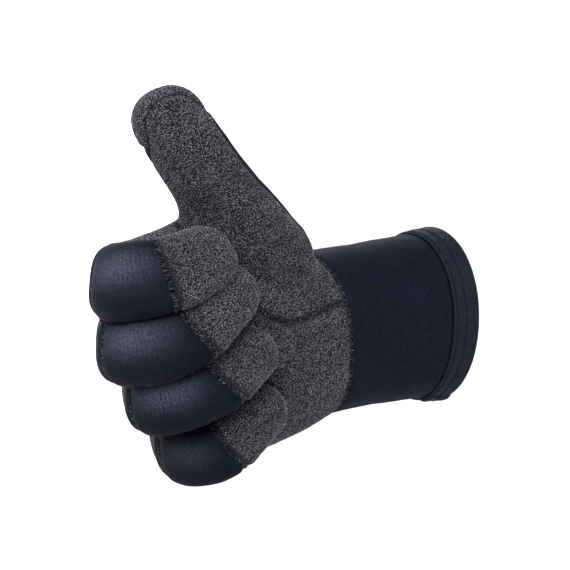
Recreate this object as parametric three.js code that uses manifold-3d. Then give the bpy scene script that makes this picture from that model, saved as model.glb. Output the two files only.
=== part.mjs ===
// Right-hand diving glove of thick neoprene, shaped as a fist with the thumb up.
// Smooth sheet covers the back of the hand, the backs of the fingers and the cuff. Knitted grip cloth on the
// same sheet covers the palm, the finger fronts, the fingertips and the front of the thumb.
// Frame, in millimetres: the origin is the middle of the cuff's mouth, +X points out of the mouth towards
// the elbow, +Z towards the thumb, and the palm faces -Y.
import * as THREE from "three";
import { mergeVertices } from "three/addons/utils/BufferGeometryUtils.js";
import Module from "manifold-3d";

const wasm = await Module();
wasm.setup();

// Sheet and seams
const neoprene = 4.5; // wall of the stretched sheet
const seam_gap = 0.4; // open line between two panels that are sewn edge to edge
const hem_sheet = 1.2; // the thinner band that binds the mouth
const hem_width = 13;
const hem_squeeze = 0.9; // the sheet under the hem is pressed in by this much

// Cuff: outer sizes, width along Z and depth along Y
const cuff_length = 70.5;
const mouth_width = 81;
const mouth_depth = 74;
const mouth_slant = 0.06; // the mouth leans out on the thumb's side: a run along X for each millimetre of Z
const wrist_width = 76;
const wrist_depth = 61;
const wrist_drop = 1.4; // the wrist lies this much nearer the little finger's side than the mouth
const wrist_slant = 0.05; // the wrist seam leans: a run along X for each millimetre to the little finger
const wrist_lean = 0.17; // and for each millimetre towards the palm

// Hand: outer sizes
const palm_length = 91; // wrist seam to the row of knuckles
const palm_breadth = 105;
const back_height = 22; // middle of the hand to its back, at the middle of the palm
const palm_height = 29; // middle of the hand to the palm, at the middle of the palm
const knuckle_slant = 0.2; // the row of knuckles leans in the same way, in the same measure

// Fingers: the longest finger from its knuckle to its tip, and the widest
const finger_length = 115;
const finger_width = 33;
const finger_row = 75; // first knuckle to last knuckle, between their middles

// Thumb
const thumb_length = 128; // its root in the palm to its tip
const thumb_width = 34;
const thumb_depth = 29;

// Smoothness of the facets
const ring_points = 14;
const cuff_points = 22;
const bend_step = 28; // most degrees between two sections in a bend

// Each finger. width is a share of finger_width, row is its knuckle's place across finger_row and reach its
// knuckle's place along palm_length. bones are the lengths of its three bones, the last with the tip, as
// shares of finger_length. The curl of each bone is in degrees from straight, and the lean is in degrees
// towards the thumb. seam and cap are where the seam at the middle joint and the seam of the tip cap cross
// the back, counted in joints as in the table below. skew is how much further along the finger the cap's
// seam lies for each millimetre away from the thumb.
const fingers = [
  { name: "index", width: 1.0, row: 0.47, reach: 0.988, seam: 1.74, cap: 2.8, skew: 0.05,
    bones: [0.372, 0.2, 0.275], curl: [57, 160, 197], lean: [6, 11, 9] },
  { name: "middle", width: 0.9, row: 0.135, reach: 1.01, seam: 1.79, cap: 2.93, skew: 0.2,
    bones: [0.4, 0.265, 0.325], curl: [62, 170, 195], lean: [1, 14, 34] },
  { name: "ring", width: 0.83, row: -0.18, reach: 0.9, seam: 1.76, cap: 2.93, skew: 0.3,
    bones: [0.365, 0.27, 0.27], curl: [66, 169, 195], lean: [-1, 18, 27] },
  { name: "little", width: 0.81, row: -0.492, reach: 0.762, seam: 1.72, cap: 2.85, skew: 0.27,
    bones: [0.295, 0.175, 0.285], curl: [70, 168, 190], lean: [-6, 14, 32] },
];
// Inner radius of the bend at the knuckle, middle joint and end joint, as a share of the finger's width, and
// the most of the shorter bone beside it that a bend may use up.
const bend_radii = [0.6, 0.54, 0.6];
const bend_limits = [0.4, 0.76, 0.22];

// Half sizes of a finger along its bones, as shares of its width. joint counts from the root in the palm, 0,
// to the knuckle, 1, the middle joint, 2, the end joint, 3, and the tip, 4.
const finger_profile = [
  { joint: 0.0, side: 0.42, back: 0.46, front: 0.4 },
  { joint: 1.0, side: 0.46, back: 0.47, front: 0.42 },
  { joint: 1.45, side: 0.47, back: 0.44, front: 0.41 },
  { joint: 1.9, side: 0.53, back: 0.44, front: 0.41 },
  { joint: 2.4, side: 0.525, back: 0.46, front: 0.4 },
  { joint: 3.0, side: 0.495, back: 0.43, front: 0.4 },
  { joint: 3.4, side: 0.47, back: 0.43, front: 0.41 },
  { joint: 4.0, side: 0.45, back: 0.41, front: 0.4 },
];
const crotch_joint = 1.42; // the fingers part here
const finger_round = 0.72; // power of a finger's outline, squarer than the thumb's as they press together
const thumb_round = 0.86;

// The palm block in sections from the wrist seam, 0, to the knuckles, 1. low and high are its edges along Z
// as shares of palm_breadth, back and front its faces along Y as shares of back_height and palm_height.
const palm_sections = [
  { along: 0.0, low: (-wrist_width / 2 - wrist_drop) / palm_breadth,
    high: (wrist_width / 2 - wrist_drop) / palm_breadth,
    back: wrist_depth / 2 / back_height, front: wrist_depth / 2 / palm_height },
  { along: 0.17, low: -0.435, high: 0.39, back: 1.18, front: 1.08 },
  { along: 0.38, low: -0.485, high: 0.45, back: 1.05, front: 1.08 },
  { along: 0.6, low: -0.49, high: 0.53, back: 0.98, front: 0.95 },
  { along: 0.8, low: -0.47, high: 0.505, back: 0.83, front: 0.78 },
  { along: 0.94, low: -0.44, high: 0.45, back: 0.6, front: 0.58 },
];

// The thumb's joints, from the root to the tip, as shares of thumb_length from the wrist seam's middle.
const thumb_joints = [
  { along: 0.03, across: -0.03, rise: 0.14 },
  { along: 0.322, across: -0.148, rise: 0.415 },
  { along: 0.515, across: -0.18, rise: 0.646 },
  { along: 0.708, across: -0.172, rise: 0.92 },
];
const thumb_radii = [1.2, 1.2];
const thumb_profile = [
  { joint: 0.0, side: 0.56, back: 0.44, front: 0.38 },
  { joint: 1.0, side: 0.57, back: 0.47, front: 0.5 },
  { joint: 1.6, side: 0.51, back: 0.45, front: 0.46 },
  { joint: 2.3, side: 0.49, back: 0.45, front: 0.46 },
  { joint: 3.0, side: 0.45, back: 0.43, front: 0.44 },
];
const thumb_back_way = new THREE.Vector3(0.58, 0.75, 0.39); // the way the back of the thumb faces
const thumb_cap_seam = 2.55; // seam between the smooth back and the thumb's tip cap

// The edge of the thumb's panel on the palm, from the wrist seam to the web. along is a share of palm_length
// and rise a share of palm_breadth.
const thenar_edge = [
  { along: -0.2, rise: 0.19 },
  { along: 0.05, rise: 0.17 },
  { along: 0.27, rise: 0.12 },
  { along: 0.4, rise: 0.15 },
  { along: 0.56, rise: 0.27 },
  { along: 0.72, rise: 0.44 },
  { along: 0.8, rise: 0.8 },
];

const up = new THREE.Vector3(0, 0, 1);
const mix = THREE.MathUtils.lerp;
const radians = THREE.MathUtils.degToRad;
const half_gap = seam_gap / 2;

// A value from a table by its key column, straight between two rows.
function look_up(table, key, at, column) {
  let i = 1;
  while (i < table.length - 1 && at > table[i][key]) i++;
  const [a, b] = [table[i - 1], table[i]];
  const share = THREE.MathUtils.clamp((at - a[key]) / (b[key] - a[key]), 0, 1);
  return mix(a[column], b[column], share);
}

// Solids and meshes

function solid_of(geometry) {
  const bare = geometry.index ? geometry.toNonIndexed() : geometry;
  const points = new THREE.BufferGeometry().setAttribute("position", bare.getAttribute("position"));
  const merged = mergeVertices(points, 1e-4);
  const mesh = { numProp: 3, vertProperties: merged.attributes.position.array,
    triVerts: new Uint32Array(merged.index.array) };
  const made = new wasm.Manifold(new wasm.Mesh(mesh));
  if (made.volume() > 0) return made;
  for (let i = 0; i < mesh.triVerts.length; i += 3) {
    [mesh.triVerts[i + 1], mesh.triVerts[i + 2]] = [mesh.triVerts[i + 2], mesh.triVerts[i + 1]];
  }
  return new wasm.Manifold(new wasm.Mesh(mesh));
}

function geometry_of(solid) {
  const mesh = solid.getMesh();
  const positions = new Float32Array(mesh.numVert * 3);
  for (let i = 0; i < mesh.numVert; i++) {
    positions.set(mesh.vertProperties.subarray(i * mesh.numProp, i * mesh.numProp + 3), i * 3);
  }
  const geometry = new THREE.BufferGeometry();
  geometry.setAttribute("position", new THREE.BufferAttribute(positions, 3));
  geometry.setIndex(new THREE.BufferAttribute(mesh.triVerts, 1));
  const flat = geometry.toNonIndexed();
  flat.computeVertexNormals();
  return flat;
}

// A solid through a row of rings with as many points each. Each end closes on a point, the ring's middle if
// none is given.
function loft(rings, first_pole, last_pole) {
  const triangles = [];
  const count = rings[0].length;
  for (let r = 0; r + 1 < rings.length; r++) {
    for (let i = 0; i < count; i++) {
      const j = (i + 1) % count;
      const [a, b, c, d] = [rings[r][i], rings[r][j], rings[r + 1][j], rings[r + 1][i]];
      triangles.push(a, b, c, a, c, d);
    }
  }
  const middle = (ring) => ring.reduce((sum, p) => sum.add(p), new THREE.Vector3()).divideScalar(count);
  const last = rings[rings.length - 1];
  const start = first_pole ?? middle(rings[0]);
  const end = last_pole ?? middle(last);
  for (let i = 0; i < count; i++) {
    const j = (i + 1) % count;
    triangles.push(start, rings[0][j], rings[0][i], end, last[i], last[j]);
  }
  return solid_of(new THREE.BufferGeometry().setFromPoints(triangles));
}

const joined = (solids) => solids.reduce((sum, s) => sum.add(s));
// The largest body of a solid, without a scrap that a cut may leave beside it.
const main_body = (solid) => solid.decompose().reduce((a, b) => (a.volume() > b.volume() ? a : b));

// The line along a row of bones: straight runs joined by round bends, with a frame that turns with it.
// f points along the bones, n to the back of the digit and l to its side.
class BoneLine {
  constructor(joints, radii, limits, back) {
    this.spans = [];
    const way = (i) => joints[i + 1].clone().sub(joints[i]).normalize();
    const long = (i) => joints[i + 1].distanceTo(joints[i]);
    // Length of each bone that its bend with the next one uses up.
    const taken = (i) => Math.min(radii[i] * Math.tan(way(i).angleTo(way(i + 1)) / 2),
      limits[i] * Math.min(long(i), long(i + 1)));
    const f = way(0);
    const n = back.clone().sub(f.clone().multiplyScalar(back.dot(f))).normalize();
    const frame = { p: joints[0].clone(), f, n };
    const bones = joints.length - 1;
    for (let i = 0; i < bones; i++) {
      const before = i === 0 ? 0 : taken(i - 1);
      const after = i === bones - 1 ? 0 : taken(i);
      const run = long(i) - before - after;
      this.spans.push({ from: i + before / long(i), to: i + 1 - after / long(i), run,
        frame: this.copy(frame) });
      frame.p.addScaledVector(frame.f, run);
      if (i === bones - 1) break;
      const next = way(i + 1);
      const turn = frame.f.angleTo(next);
      const axis = frame.f.clone().cross(next).normalize();
      const radius = after / Math.tan(turn / 2);
      const span = { from: i + 1 - after / long(i), to: i + 1 + after / long(i + 1), turn, axis, radius,
        frame: this.copy(frame) };
      this.spans.push(span);
      Object.assign(frame, this.turned(span, 1));
    }
    this.end = bones;
    this.last_bone = long(bones - 1);
  }
  copy({ p, f, n }) {
    return { p: p.clone(), f: f.clone(), n: n.clone() };
  }
  turned({ turn, axis, radius, frame }, share) {
    const centre = frame.p.clone().addScaledVector(axis.clone().cross(frame.f), radius);
    const p = frame.p.clone().sub(centre).applyAxisAngle(axis, turn * share).add(centre);
    return { p, f: frame.f.clone().applyAxisAngle(axis, turn * share),
      n: frame.n.clone().applyAxisAngle(axis, turn * share) };
  }
  at(joint) {
    const span = this.spans.find((s) => joint <= s.to) ?? this.spans[this.spans.length - 1];
    const share = (joint - span.from) / (span.to - span.from);
    const frame = span.turn ? this.turned(span, share) : this.copy(span.frame);
    if (!span.turn) frame.p.addScaledVector(frame.f, span.run * share);
    frame.l = frame.n.clone().cross(frame.f);
    return frame;
  }
  // The places between two joints where a section is needed: the ends, and every few degrees of a bend.
  stops(from, to) {
    const places = [from];
    for (const span of this.spans) {
      const steps = span.turn ? Math.ceil((span.turn * 180) / Math.PI / bend_step) : 1;
      for (let i = 0; i <= steps; i++) places.push(mix(span.from, span.to, i / steps));
    }
    const inside = places.filter((u) => u > from + 0.03 && u < to - 0.03).sort((a, b) => a - b);
    return [from, ...inside.filter((u, i) => i === 0 || u - inside[i - 1] > 0.02), to];
  }
}

// A digit's tube or half of it between two places. part is "all", "back" or "front", inset thins it all
// round, and chord is how far a half stands off the middle line. shape holds its profile, its width and the
// power of its outline: 1 is an ellipse, less is squarer. Where cap and skew are given, the sections near
// the cap's seam are turned to lie along it.
function digit(line, shape, { from, to, part = "all", inset = 0, chord = half_gap }) {
  const { profile, width, round, cap, skew = 0 } = shape;
  const tip = to >= line.end;
  const tip_radius = width * look_up(profile, "joint", line.end, "side") - inset;
  const tip_place = line.end - inset / line.last_bone;
  const dome = tip_radius / line.last_bone;
  const body_end = tip ? tip_place - dome : to;
  const sections = line.stops(from, body_end).map((joint) => ({ joint, share: 1 }));
  if (tip) {
    for (const angle of [30, 62]) {
      const joint = body_end + dome * Math.sin(radians(angle));
      sections.push({ joint, share: Math.cos(radians(angle)) ** 0.8 });
    }
  }
  const arc = (joint, side, height, sign, stand) => {
    const points = [];
    const steps = ring_points / 2;
    const turn = skew ? (skew * Math.max(1 - Math.abs(joint - cap) / 0.6, 0)) / line.last_bone : 0;
    for (let i = 0; i <= steps; i++) {
      const a = (Math.PI * i) / steps;
      const x = side * Math.sign(Math.cos(a)) * Math.abs(Math.cos(a)) ** round;
      const y = sign * (stand + Math.max(height - stand, 0.1) * Math.sin(a) ** round);
      const frame = line.at(joint - x * turn);
      points.push(frame.p.clone().addScaledVector(frame.l, x).addScaledVector(frame.n, y));
    }
    return points;
  };
  const rings = sections.map(({ joint, share }) => {
    const size = (column) => (width * look_up(profile, "joint", joint, column) - inset) * share;
    if (part === "back") return arc(joint, size("side"), size("back"), 1, chord * share);
    if (part === "front") return arc(joint, size("side"), size("front"), -1, chord * share);
    const back = arc(joint, size("side"), size("back"), 1, 0);
    const front = arc(joint, size("side"), size("front"), -1, 0).reverse();
    return [...back, ...front.slice(1, -1)];
  });
  const pole = tip ? line.at(tip_place).p : undefined;
  return loft(rings, undefined, pole);
}

// Fingers as bone lines

function finger_line(finger) {
  const lengths = finger.bones.map((share) => share * finger_length);
  const knuckle = new THREE.Vector3(-cuff_length - finger.reach * palm_length, 0, finger.row * finger_row);
  const root = knuckle.clone().add(new THREE.Vector3(0.35 * palm_length, 0, -0.1 * finger.row * finger_row));
  const joints = [root, knuckle];
  lengths.forEach((length, i) => {
    const [curl, lean] = [radians(finger.curl[i]), radians(finger.lean[i])];
    const way = new THREE.Vector3(-Math.cos(curl) * Math.cos(lean), -Math.sin(curl) * Math.cos(lean),
      Math.sin(lean));
    joints.push(joints[joints.length - 1].clone().addScaledVector(way, length));
  });
  const radii = bend_radii.map((share) => share * finger.width * finger_width);
  return new BoneLine(joints, radii, bend_limits, new THREE.Vector3(0, 1, 0));
}

const digits = fingers.map((finger) => {
  const line = finger_line(finger);
  const width = finger.width * finger_width;
  const shape = { profile: finger_profile, width, round: finger_round, cap: finger.cap, skew: finger.skew };
  return { ...finger, make: (options) => digit(line, shape, options) };
});

const wrist = new THREE.Vector3(-cuff_length, 0, 0);
const thumb_points = thumb_joints.map(({ along, across, rise }) =>
  wrist.clone().add(new THREE.Vector3(-along, across, rise).multiplyScalar(thumb_length)));
const thumb_line = new BoneLine(thumb_points, thumb_radii.map((share) => share * thumb_width), [0.4, 0.4],
  thumb_back_way);
const thumb_profile_scaled = thumb_profile.map((row) => ({ ...row,
  back: (row.back * thumb_depth) / thumb_width, front: (row.front * thumb_depth) / thumb_width }));
const thumb_shape = { profile: thumb_profile_scaled, width: thumb_width, round: thumb_round };
const thumb = (options) => digit(thumb_line, thumb_shape, options);

// The palm block and the cuff are lofted through rings across X

// A ring at x with its edges along Z and faces along Y. slant and lean shear it along X, and a half ring
// stays on one side of the middle plane, chord off it.
function cross_ring(x, ring, points, part = "all", chord = half_gap) {
  const { low, high, back, front, slant, lean, round } = ring;
  const [middle, half] = [(low + high) / 2, (high - low) / 2];
  const at = (angle, sign, stand) => {
    const z = middle + half * Math.sign(Math.cos(angle)) * Math.abs(Math.cos(angle)) ** round;
    const height = sign > 0 ? back : front;
    const y = sign * (stand + Math.max(height - stand, 0.1) * Math.abs(Math.sin(angle)) ** round);
    return new THREE.Vector3(x - slant * z - lean * y, y, z);
  };
  const half_ring = (sign, stand) =>
    Array.from({ length: points / 2 + 1 }, (_, i) => at((2 * Math.PI * i) / points, sign, stand));
  if (part === "back") return half_ring(1, chord);
  if (part === "front") return half_ring(-1, chord);
  return [...half_ring(1, 0), ...half_ring(-1, 0).reverse().slice(1, -1)];
}

const palm_slant = (along) => mix(wrist_slant, knuckle_slant, along);
const palm_x = (along) => -cuff_length - along * palm_length;

// The palm block or half of it. inset thins it, and from and to are places along palm_length.
function palm({ part = "all", inset = 0, chord = half_gap, from = 0, to = 0.94 }) {
  const places = [from, ...palm_sections.map((row) => row.along).filter((a) => a > from && a < to), to];
  const rings = places.map((along) => {
    const size = (column, scale) => look_up(palm_sections, "along", along, column) * scale;
    const ring = { low: size("low", palm_breadth) + inset, high: size("high", palm_breadth) - inset,
      back: size("back", back_height) - inset, front: size("front", palm_height) - inset,
      slant: palm_slant(along), lean: wrist_lean * Math.max(1 - 2 * along, 0), round: 0.85 };
    return cross_ring(palm_x(along), ring, cuff_points, part, chord);
  });
  return loft(rings);
}

// The cuff's outline from the mouth, 0, to the wrist seam, 1. mouth is how much of the flare to the mouth is
// left, and round is the power of its outline: 1 is an ellipse, less is squarer.
const hem_share = hem_width / cuff_length;
const cuff_sections = [
  { along: 0.0, mouth: 1.0, round: 0.97 },
  { along: 0.5 * hem_share, mouth: 0.7, round: 0.97 },
  { along: hem_share, mouth: 0.45, round: 0.96 },
  { along: 0.6, mouth: -0.15, round: 0.9 },
  { along: 1.0, mouth: 0.0, round: 0.85 },
];

function cuff_ring(along, stand) {
  const share = look_up(cuff_sections, "along", along, "mouth");
  const half_width = mix(wrist_width, mouth_width, share) / 2 + stand;
  const half_depth = mix(wrist_depth, mouth_depth, share) / 2 + stand;
  const round = look_up(cuff_sections, "along", along, "round");
  const drop = wrist_drop * along;
  return cross_ring(-along * cuff_length, { low: -half_width - drop, high: half_width - drop,
    back: half_depth, front: half_depth, slant: mix(-mouth_slant, wrist_slant, along),
    lean: wrist_lean * along, round }, cuff_points);
}

// A solid tube from one place to another along the cuff, standing off its outside.
function cuff_tube(from, to, stand) {
  const between = cuff_sections.map((row) => row.along).filter((along) => along > from && along < to);
  return loft([from, ...between, to].map((along) => cuff_ring(along, stand)));
}

// Cavity: the space for the hand, all in one solid
const seam_share = half_gap / palm_length;
const finger_cavities = digits.map(({ make }) => make({ from: 0.1, to: 4, inset: neoprene }));
const thumb_cavity = thumb({ from: 0, to: 3, inset: neoprene });
const palm_cavity = palm({ inset: neoprene, from: -0.1, to: 0.9 });
const cavity = joined([palm_cavity, thumb_cavity, ...finger_cavities]);

// Neighbours press together: a finger gives way to the next one nearer the middle finger, and the palm to
// all of them.
const grown = (i, from) => digits[i].make({ from, to: 4, inset: -seam_gap });
const neighbour = digits.map((_, i) => (i === 1 ? null : i === 0 ? 1 : i - 1));
const fitted = (solid, i, from) =>
  neighbour[i] === null ? solid : solid.subtract(grown(neighbour[i], from));

// Regions that the panels are cut to
const front_grown = (i) =>
  digits[i].make({ from: crotch_joint, to: 4, part: "front", inset: -seam_gap, chord: -half_gap });
const knuckle_backs = digits.map(({ make, seam }, i) => {
  const bent = fitted(make({ from: 0.1, to: seam, part: "back" }), i, seam - 0.1);
  return neighbour[i] === null ? bent : bent.subtract(front_grown(neighbour[i]));
});
const knuckle_fronts = digits.map(({ make }) => make({ from: 0.1, to: crotch_joint, part: "front" }));
const curled = joined(digits.map((_, i) => grown(i, crotch_joint)));
const back_region = joined([
  palm({ part: "back", inset: -seam_gap, chord: -half_gap }),
  ...digits.map(({ make }) => make({ from: 0.1, to: 4, part: "back", inset: -seam_gap, chord: -half_gap })),
]);
const thenar_outline = (shift) => {
  const shape = new THREE.Shape();
  const point = ({ along, rise }) => [-cuff_length - along * palm_length, rise * palm_breadth + shift];
  thenar_edge.forEach((row, i) => (i ? shape.lineTo(...point(row)) : shape.moveTo(...point(row))));
  shape.lineTo(point(thenar_edge[0])[0], palm_breadth);
  shape.closePath();
  return shape;
};
function thenar_region(shift) {
  const deep = 2 * palm_height;
  const prism = new THREE.ExtrudeGeometry(thenar_outline(shift), { depth: deep, bevelEnabled: false });
  prism.rotateX(Math.PI / 2);
  return solid_of(prism);
}

// Panels

const back_panel = joined([palm({ part: "back", from: seam_share }), ...knuckle_backs])
  .subtract(cavity);

const front_block = palm({ part: "front", from: seam_share });
const finger_pieces = (part, from, to) => digits.map(({ make, ...row }, i) =>
  [row.name, main_body(fitted(make({ from: from(row), to: to(row), part }), i, 1).subtract(cavity))]);
const finger_fronts = finger_pieces("front", () => crotch_joint + 0.01, () => 4);
const finger_backs = finger_pieces("back", ({ seam }) => seam + 0.01, ({ cap }) => cap - 0.006);
const finger_caps = finger_pieces("back", ({ cap }) => cap + 0.006, () => 4);
const thumb_tube = thumb({ from: 0.1, to: 3, inset: -seam_gap });
const palm_panel = joined([front_block, ...knuckle_fronts])
  .subtract(cavity)
  .subtract(back_region)
  .subtract(curled)
  .subtract(thenar_region(-half_gap))
  .subtract(thumb_tube);

const cuff_side = cuff_tube(0, 1 + seam_gap / 2 / cuff_length, 2 * palm_height);
const thumb_front = joined([front_block.intersect(thenar_region(half_gap)),
  thumb({ from: 0.1, to: 3, part: "front" })])
  .subtract(cavity)
  .subtract(back_region)
  .subtract(curled)
  .subtract(cuff_side);

const hand_outside = joined([palm({ inset: -seam_gap }), back_region]);
const thumb_back_half = (from, to) => thumb({ from, to, part: "back" })
  .subtract(cavity)
  .subtract(hand_outside)
  .subtract(cuff_side);
const thumb_back = thumb_back_half(0.1, thumb_cap_seam - 0.006);
const thumb_cap = thumb_back_half(thumb_cap_seam + 0.006, 3);

const gap_share = seam_gap / cuff_length;
const sheet_share = hem_sheet / cuff_length;
const under_hem = cuff_tube(-0.1, hem_share + gap_share, neoprene)
  .subtract(cuff_tube(-0.2, 1, -hem_squeeze));
const cuff = cuff_tube(sheet_share + gap_share, 1 - gap_share / 2, 0)
  .subtract(cuff_tube(-0.1, 1.1, -neoprene))
  .subtract(under_hem);

// The hem folds over the mouth, with one leg outside the sheet and one inside.
const hem = cuff_tube(0, hem_share, seam_gap + hem_sheet - hem_squeeze)
  .subtract(cuff_tube(-0.1, 1, -neoprene - seam_gap - hem_sheet))
  .subtract(cuff_tube(sheet_share, 1, seam_gap - hem_squeeze)
    .subtract(cuff_tube(-0.1, 1.1, -neoprene - seam_gap)));

// Materials

const smooth_navy = new THREE.MeshStandardMaterial({ color: 0x1a2030, roughness: 0.8, metalness: 0 });
const grip_grey = new THREE.MeshStandardMaterial({ color: 0x3c3b40, roughness: 0.92, metalness: 0 });
const hem_navy = new THREE.MeshStandardMaterial({ color: 0x171d2b, roughness: 0.75, metalness: 0 });

const glove = new THREE.Group();
function add(name, solid, material) {
  const mesh = new THREE.Mesh(geometry_of(solid), material);
  mesh.name = name;
  glove.add(mesh);
}

add("cuff", cuff, smooth_navy);
add("cuff_hem", hem, hem_navy);
add("back_panel", back_panel, smooth_navy);
add("palm_panel", palm_panel, grip_grey);
add("thumb_front", thumb_front, grip_grey);
add("thumb_back", thumb_back, smooth_navy);
add("thumb_tip_cap", thumb_cap, grip_grey);
finger_backs.forEach(([name, solid]) => add(`${name}_back`, solid, smooth_navy));
finger_caps.forEach(([name, solid]) => add(`${name}_tip_cap`, solid, grip_grey));
finger_fronts.forEach(([name, solid]) => add(`${name}_front`, solid, grip_grey));

export default glove;
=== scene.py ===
# %% [markdown]
# # A neoprene diving glove
# A thick right-hand glove, closed to a fist with the thumb up. Smooth navy sheet covers the back of the hand,
# the backs of the fingers and the cuff. Grey knitted grip cloth covers the palm, the fingertips and the
# thumb's front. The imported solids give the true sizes, and each of them is replaced here by a finer skin with
# the same seams.

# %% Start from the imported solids
import math
import bpy
import numpy as np
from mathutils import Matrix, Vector


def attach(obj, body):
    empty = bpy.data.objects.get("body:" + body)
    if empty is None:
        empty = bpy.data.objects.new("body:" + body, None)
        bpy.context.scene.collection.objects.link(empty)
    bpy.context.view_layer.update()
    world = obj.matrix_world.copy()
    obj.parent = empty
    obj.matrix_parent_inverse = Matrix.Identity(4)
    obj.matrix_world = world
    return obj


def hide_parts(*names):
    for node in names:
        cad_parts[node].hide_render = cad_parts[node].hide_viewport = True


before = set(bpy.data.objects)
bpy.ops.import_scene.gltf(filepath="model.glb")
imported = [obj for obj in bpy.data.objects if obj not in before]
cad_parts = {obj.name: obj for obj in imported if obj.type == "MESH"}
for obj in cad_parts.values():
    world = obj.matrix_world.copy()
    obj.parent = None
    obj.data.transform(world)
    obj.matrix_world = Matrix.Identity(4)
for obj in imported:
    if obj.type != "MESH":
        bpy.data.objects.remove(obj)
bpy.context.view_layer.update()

# %% [markdown]
# ## Sizes
# A sewn glove is described by a few sizes: the wall of the sheet, the cuff, the palm, and for each finger its
# width, the lengths of its bones and how far each is bent. They are the same named sizes as in the part's
# source, in millimetres, and a mesh is only turned into metres when it is finished. The looks need one more:
# the pads on the middle bones are a little squarer.

# %% Sizes of the sheet, the cuff and the hand
MM = 0.001
neoprene = 4.5
seam_gap = 0.4
half_gap = seam_gap / 2
hem_sheet = 1.2
hem_width = 13
hem_squeeze = 0.9
cuff_length = 70.5
mouth_width, mouth_depth, mouth_slant = 81, 74, 0.06
wrist_width, wrist_depth = 76, 61
wrist_drop, wrist_slant, wrist_lean = 1.4, 0.05, 0.17
palm_length, palm_breadth = 91, 105
back_height, palm_height = 22, 29
knuckle_slant = 0.2
finger_length, finger_width, finger_row = 115, 33, 75
thumb_length, thumb_width, thumb_depth = 128, 34, 29
crotch_joint, thumb_cap_seam = 1.42, 2.55
finger_round, pad_round, thumb_round, tip_round = 0.72, 0.65, 0.86, 0.95
step = 1.15
print("the skin is made on a grid of", step, "mm")

# %% Sizes of the fingers and the thumb
finger_rows = {
    "index": dict(width=1.0, row=0.47, reach=0.988, seam=1.74, cap=2.8, skew=0.05,
                  bones=[0.372, 0.2, 0.275], curl=[57, 160, 197], lean=[6, 11, 9]),
    "middle": dict(width=0.9, row=0.135, reach=1.01, seam=1.79, cap=2.93, skew=0.2,
                   bones=[0.4, 0.265, 0.325], curl=[62, 170, 195], lean=[1, 14, 34]),
    "ring": dict(width=0.83, row=-0.18, reach=0.9, seam=1.76, cap=2.93, skew=0.3,
                 bones=[0.365, 0.27, 0.27], curl=[66, 169, 195], lean=[-1, 18, 27]),
    "little": dict(width=0.81, row=-0.492, reach=0.762, seam=1.72, cap=2.85, skew=0.27,
                   bones=[0.295, 0.175, 0.285], curl=[70, 168, 190], lean=[-6, 14, 32]),
}
bend_radii = [0.6, 0.54, 0.6]
bend_limits = [0.4, 0.76, 0.22]
# each row: joint, half width, height of the back, height of the front, as shares of the width
finger_profile = np.array([
    [0.0, 0.42, 0.46, 0.4], [1.0, 0.46, 0.47, 0.42], [1.45, 0.47, 0.44, 0.41], [1.9, 0.53, 0.44, 0.41],
    [2.4, 0.525, 0.46, 0.4], [3.0, 0.495, 0.43, 0.4], [3.4, 0.47, 0.43, 0.41], [4.0, 0.45, 0.41, 0.4]])
thumb_places = np.array([
    [0.03, -0.03, 0.14], [0.322, -0.148, 0.415], [0.515, -0.18, 0.646], [0.708, -0.172, 0.92]])
thumb_profile = np.array([
    [0.0, 0.56, 0.44, 0.38], [1.0, 0.57, 0.47, 0.5], [1.6, 0.51, 0.45, 0.46], [2.3, 0.49, 0.45, 0.46],
    [3.0, 0.45, 0.43, 0.44]])
thumb_back_way = np.array([0.58, 0.75, 0.39])
thenar_edge = np.array([
    [-0.2, 0.19], [0.05, 0.17], [0.27, 0.12], [0.4, 0.15], [0.56, 0.27], [0.72, 0.44], [0.8, 0.8]])
print("digits:", len(finger_rows) + 1)

# %% [markdown]
# ## Bones
# A finger of the glove is a tube around a line of straight bones with round bends at the joints. The line is
# walked in short steps, and each step keeps three directions that turn with it: forward along the bone, out
# through the finger's back, and to its side. Every tube, seam and stitch of a digit is placed in these
# directions.

# %% A line of bones
def turned(vector, axis, angle):
    return (vector * math.cos(angle) + np.cross(axis, vector) * math.sin(angle)
            + axis * np.dot(axis, vector) * (1 - math.cos(angle)))


def unit(vector):
    return vector / np.linalg.norm(vector)


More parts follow.
